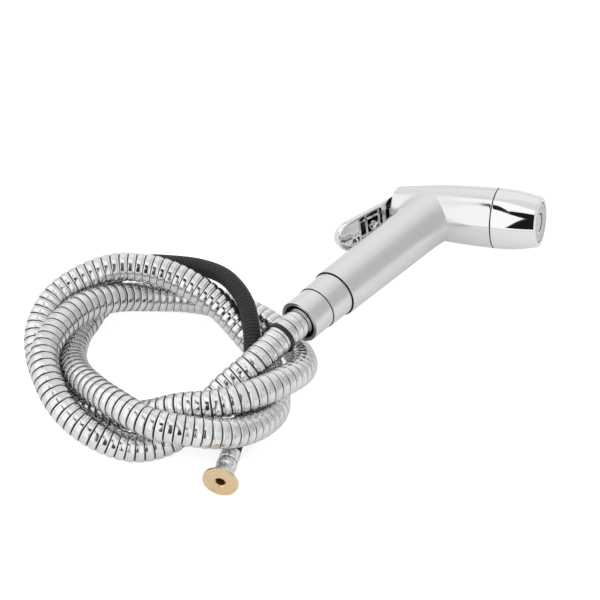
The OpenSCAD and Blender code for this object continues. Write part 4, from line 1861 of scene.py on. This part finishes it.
@dataclass
class EndFitting:
    """The crimped ferrule, the collar and the brass tail on the hose's end."""

    ferrule_len: float = 13.0
    ferrule_r: float = 5.3
    collar_len: float = 7.0
    collar_r: float = 6.0
    collar_bulge: float = 1.1
    collar_steps: int = 16
    flange_r: float = 9.6
    flange_t: float = 1.8
    bore_r: float = 2.5
    sharp_edge: float = 32.0

    def build(self, points: HosePoints, palette: Palette) -> list[bpy.types.Object]:
        """Make the three pieces.

        Args:
            points: The hose's points, whose last one is the ferrule's start.
            palette: The finishes.

        Returns:
            The ferrule, the collar and the tail.
        """
        turn = points.end_dir.to_track_quat("Z", "Y").to_matrix().to_4x4()
        matrix = Matrix.Translation(Vector(points.end_at) * MM) @ turn
        r, top = self.ferrule_r, self.ferrule_len
        ferrule = rounded(
            [
                (4.8, 0.5), (4.8, 0.0), (r - 0.1, 0.0), (r - 0.1, 5.6), (r - 0.6, 6.1),
                (r - 0.6, 6.8), (r + 0.15, 7.8), (r + 0.2, 10.2), (r - 0.5, 11.6), (r - 0.5, top),
                (3.9, top),
            ],
            {2: 0.3, 3: 0.4, 4: 0.3, 5: 0.3, 6: 0.9, 7: 0.9, 8: 0.4},
        )
        start, stop = top + 0.1, top + self.collar_len
        collar = [(4.0, start)]
        for i in range(self.collar_steps + 1):
            share = i / self.collar_steps
            bulge = self.collar_bulge * math.sin(math.pi * share) ** 0.6
            place = start + share * (stop - start)
            collar.append((self.collar_r - self.collar_bulge + bulge, place))
        collar.append((4.0, stop))
        back = stop + 0.05
        face = back + self.flange_t
        tail = rounded(
            [
                (3.9, stop - 1.0), (3.9, back), (self.flange_r, back), (self.flange_r, face),
                (7.9, face), (7.7, face - 0.07), (7.4, face - 0.07), (7.2, face),
                (4.6, face), (4.4, face - 0.1), (3.5, face - 0.1), (3.3, face),
                (self.bore_r, face - 0.75), (self.bore_r, face - 8.8),
            ],
            {2: 0.3, 3: 0.35, 11: 0.15, 12: 0.2},
        )
        pieces = (
            turned("outer_ferrule", ferrule, Slot.CHROME, matrix),
            turned("end_collar", collar, Slot.CHROME, matrix),
            turned("brass_tail", tail, Slot.BRASS, matrix, 128),
        )
        made = [piece.place(palette) for piece in pieces]
        for part in made:
            shade_by_angle(part, self.sharp_edge)
        return made


class CarriedOver:
    """The solids that show as they are, with a finish of their own."""

    FINISH = {
        "spray_plate": Slot.GREY_PLASTIC,
        "jet_insert": Slot.WHITE_PLASTIC,
        "flow_diffuser": Slot.WHITE_PLASTIC,
        "spray_chamber": Slot.WHITE_PLASTIC,
        "cap_o_ring": Slot.BLACK_RUBBER,
        "outlet_tube": Slot.WHITE_PLASTIC,
        "valve_body": Slot.BRASS,
        "gland_nut": Slot.STEEL,
        "gland_o_ring": Slot.BLACK_RUBBER,
        "valve_stem": Slot.STEEL,
        "seat_washer": Slot.BLACK_RUBBER,
        "valve_spring": Slot.STEEL,
        "inlet_tube": Slot.WHITE_PLASTIC,
        "check_valve_housing": Slot.WHITE_PLASTIC,
        "check_poppet": Slot.WHITE_PLASTIC,
        "poppet_seal": Slot.BLACK_RUBBER,
        "check_spring": Slot.STEEL,
        "lever_pin": Slot.STEEL,
        "hose_nipple": Slot.BRASS,
        "nipple_washer": Slot.BLACK_RUBBER,
        "inner_ferrule": Slot.STEEL,
        "hose_end_ring": Slot.HOSE_STEEL,
        "cable_tie": Slot.BLACK_PLASTIC,
    }

    def dress(self, nodes: dict[str, bpy.types.Object], palette: Palette) -> None:
        """Give each solid its finish.

        Args:
            nodes: The frame's objects by name.
            palette: The finishes.
        """
        for name, slot in self.FINISH.items():
            node = nodes[name]
            node.data.materials.clear()
            node.data.materials.append(palette.insert if name == "jet_insert" else palette[slot])


# --------------------------------------------------------------------------
# Studio
# --------------------------------------------------------------------------


@dataclass(frozen=True)
class TentPanel:
    """A patch of the light tent, between corners given by bearing and height."""

    corners: tuple[tuple[float, float], ...]
    bright: float
    blur: float = 0.02

    def edges(self) -> list[Vector]:
        """The planes through the middle and each side of the patch.

        Returns:
            One normal for each side, pointing inwards.
        """
        spots = [toward(bearing, height) for bearing, height in self.corners]
        middle = sum(spots, Vector())
        normals = []
        for spot, after in zip(spots, [*spots[1:], spots[0]]):
            normal = spot.cross(after).normalized()
            normals.append(normal if normal.dot(middle) > 0 else -normal)
        return normals


@dataclass
class Studio:
    """The floor, the light tent and the camera."""

    target: tuple[float, float, float] = (-0.065, -0.025, 0.015)
    elevation: float = 47.0
    distance: float = 1.25
    lens: float = 135.9
    floor_size: float = 12.0
    floor_drop: float = 0.0003
    floor_grey: float = 0.8
    floor_seen: float = 0.72
    floor_mirrored: float = 0.22
    base: float = 0.80
    panels: tuple[TentPanel, ...] = (
        TentPanel(((-22, 50), (38, 50), (38, 2), (-22, 2)), 0.56, 0.10),
        TentPanel(((66, 50), (110, 50), (110, 4), (66, 4)), 0.93, 0.10),
        TentPanel(
            ((128, 8), (106, 55), (88, 80), (-40, 60), (-50, 4), (-110, 2), (-160, 2)), 1.12
        ),
        TentPanel(
            ((150, 62), (156, 67), (-150, 68), (-131, 59), (-161, 62), (175, 62)), 0.01, 0.008
        ),
        TentPanel(
            ((-150, 68), (-125, 74), (-86, 74), (-86, 52), (-104, 52), (-131, 59)), 0.01, 0.008
        ),
        TentPanel(((-104, 54), (-86, 54), (-86, 8), (-116, 8)), 0.01, 0.008),
    )

    def camera(self) -> bpy.types.Object:
        """Place the camera.

        Returns:
            The camera.
        """
        data = bpy.data.cameras.new("camera")
        data.lens = self.lens
        data.sensor_width = 36.0
        data.clip_end = 50.0
        made = bpy.data.objects.new("camera", data)
        rise = math.radians(self.elevation)
        offset = Vector((0, -math.cos(rise), math.sin(rise))) * self.distance
        made.location = Vector(self.target) + offset
        made.rotation_euler = (math.pi / 2 - rise, 0, 0)
        bpy.context.scene.collection.objects.link(made)
        bpy.context.scene.camera = made
        return made

    def floor(self) -> bpy.types.Object:
        """Lay the floor.

        Returns:
            The floor.
        """
        half = self.floor_size / 2
        mesh = bpy.data.meshes.new("floor")
        corners = [(-half, -half, 0), (half, -half, 0), (half, half, 0), (-half, half, 0)]
        mesh.from_pydata(corners, [], [(0, 1, 2, 3)])
        made = bpy.data.objects.new("floor", mesh)
        bpy.context.scene.collection.objects.link(made)
        made.location.z = -self.floor_drop
        shader = Shader("floor_white")
        diffuse = shader.node("ShaderNodeBsdfDiffuse")
        diffuse.inputs["Color"].default_value = grey(self.floor_grey)
        glow = shader.node("ShaderNodeEmission")
        glow.inputs["Color"].default_value = grey(1.0)
        path = shader.node("ShaderNodeLightPath")
        seen = shader.math("MULTIPLY", path.outputs["Is Camera Ray"], self.floor_seen)
        mirrored = shader.math("MULTIPLY", path.outputs["Is Glossy Ray"], self.floor_mirrored)
        shader.feed(glow.inputs["Strength"], shader.math("ADD", seen, mirrored))
        both = shader.node("ShaderNodeAddShader")
        shader.feed(both.inputs[0], diffuse.outputs[0])
        shader.feed(both.inputs[1], glow.outputs[0])
        shader.feed(shader.output.inputs["Surface"], both.outputs[0])
        made.data.materials.append(shader.material)
        return made

    def tent(self) -> None:
        """Surround the object with the light tent."""
        world = bpy.data.worlds.new("tent")
        bpy.context.scene.world = world
        world.use_nodes = True
        nodes = Nodes(world.node_tree, "ShaderNodeOutputWorld")
        direction = nodes.node("ShaderNodeTexCoord").outputs["Generated"]
        height = nodes.dot(direction, (0, 0, 1))
        tone = nodes.ramp(height, 0.8 * self.base, self.base, -0.1, 0.5)
        for panel in self.panels:
            mask: object = 1.0
            for normal in panel.edges():
                inside = nodes.ramp(nodes.dot(direction, normal), 0.0, 1.0, -panel.blur, panel.blur)
                mask = nodes.math("MULTIPLY", mask, inside)
            gap = nodes.math("SUBTRACT", panel.bright, tone)
            tone = nodes.math("ADD", tone, nodes.math("MULTIPLY", gap, mask))
        glow = nodes.node("ShaderNodeBackground")
        nodes.feed(glow.inputs["Color"], grey(1.0))
        nodes.feed(glow.inputs["Strength"], tone)
        nodes.feed(nodes.output.inputs[0], glow.outputs[0])

    def build(self) -> None:
        """Set the whole studio up."""
        self.camera()
        self.floor()
        self.tent()
        scene = bpy.context.scene
        scene.view_settings.view_transform = "Standard"
        scene.view_settings.look = "None"


# --------------------------------------------------------------------------


def main() -> None:
    """Build the dressed sprayer and its studio, in order."""
    logging.basicConfig(level=logging.INFO, format="%(name)s: %(message)s")
    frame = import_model()
    sizes = HandsetSizes()
    pose = HandsetFrame(frame["joints"], sizes)
    points = HosePoints()
    route = Route(pose, points)
    spray = pose.in_hand(pose.spray_local)
    tail_line = (Vector(points.end_at) * MM, points.end_dir)
    spray_line = (spray.translation, spray.to_3x3() @ Vector((0, 0, 1)))
    palette = Palette(tail_line, spray_line)
    Studio().build()
    LOG.info("studio is up")
    MetalHose().build(route, palette)
    EndFitting().build(points, palette)
    BraidedHose().build(route, palette)
    metal_len = route.metal_stop - route.metal_start
    LOG.info("hoses: %.0f mm of metal hose, %.0f mm in all", metal_len, route.length)
    HandleShell(sizes).build(pose, palette)
    NozzleCap(sizes).build(pose, palette)
    CollarAndSleeve(sizes).build(pose, palette)
    Lever(sizes).build(pose, palette)
    CarriedOver().dress(frame["nodes"], palette)
    LOG.info("handset is dressed")


if __name__ == "__main__":
    main()
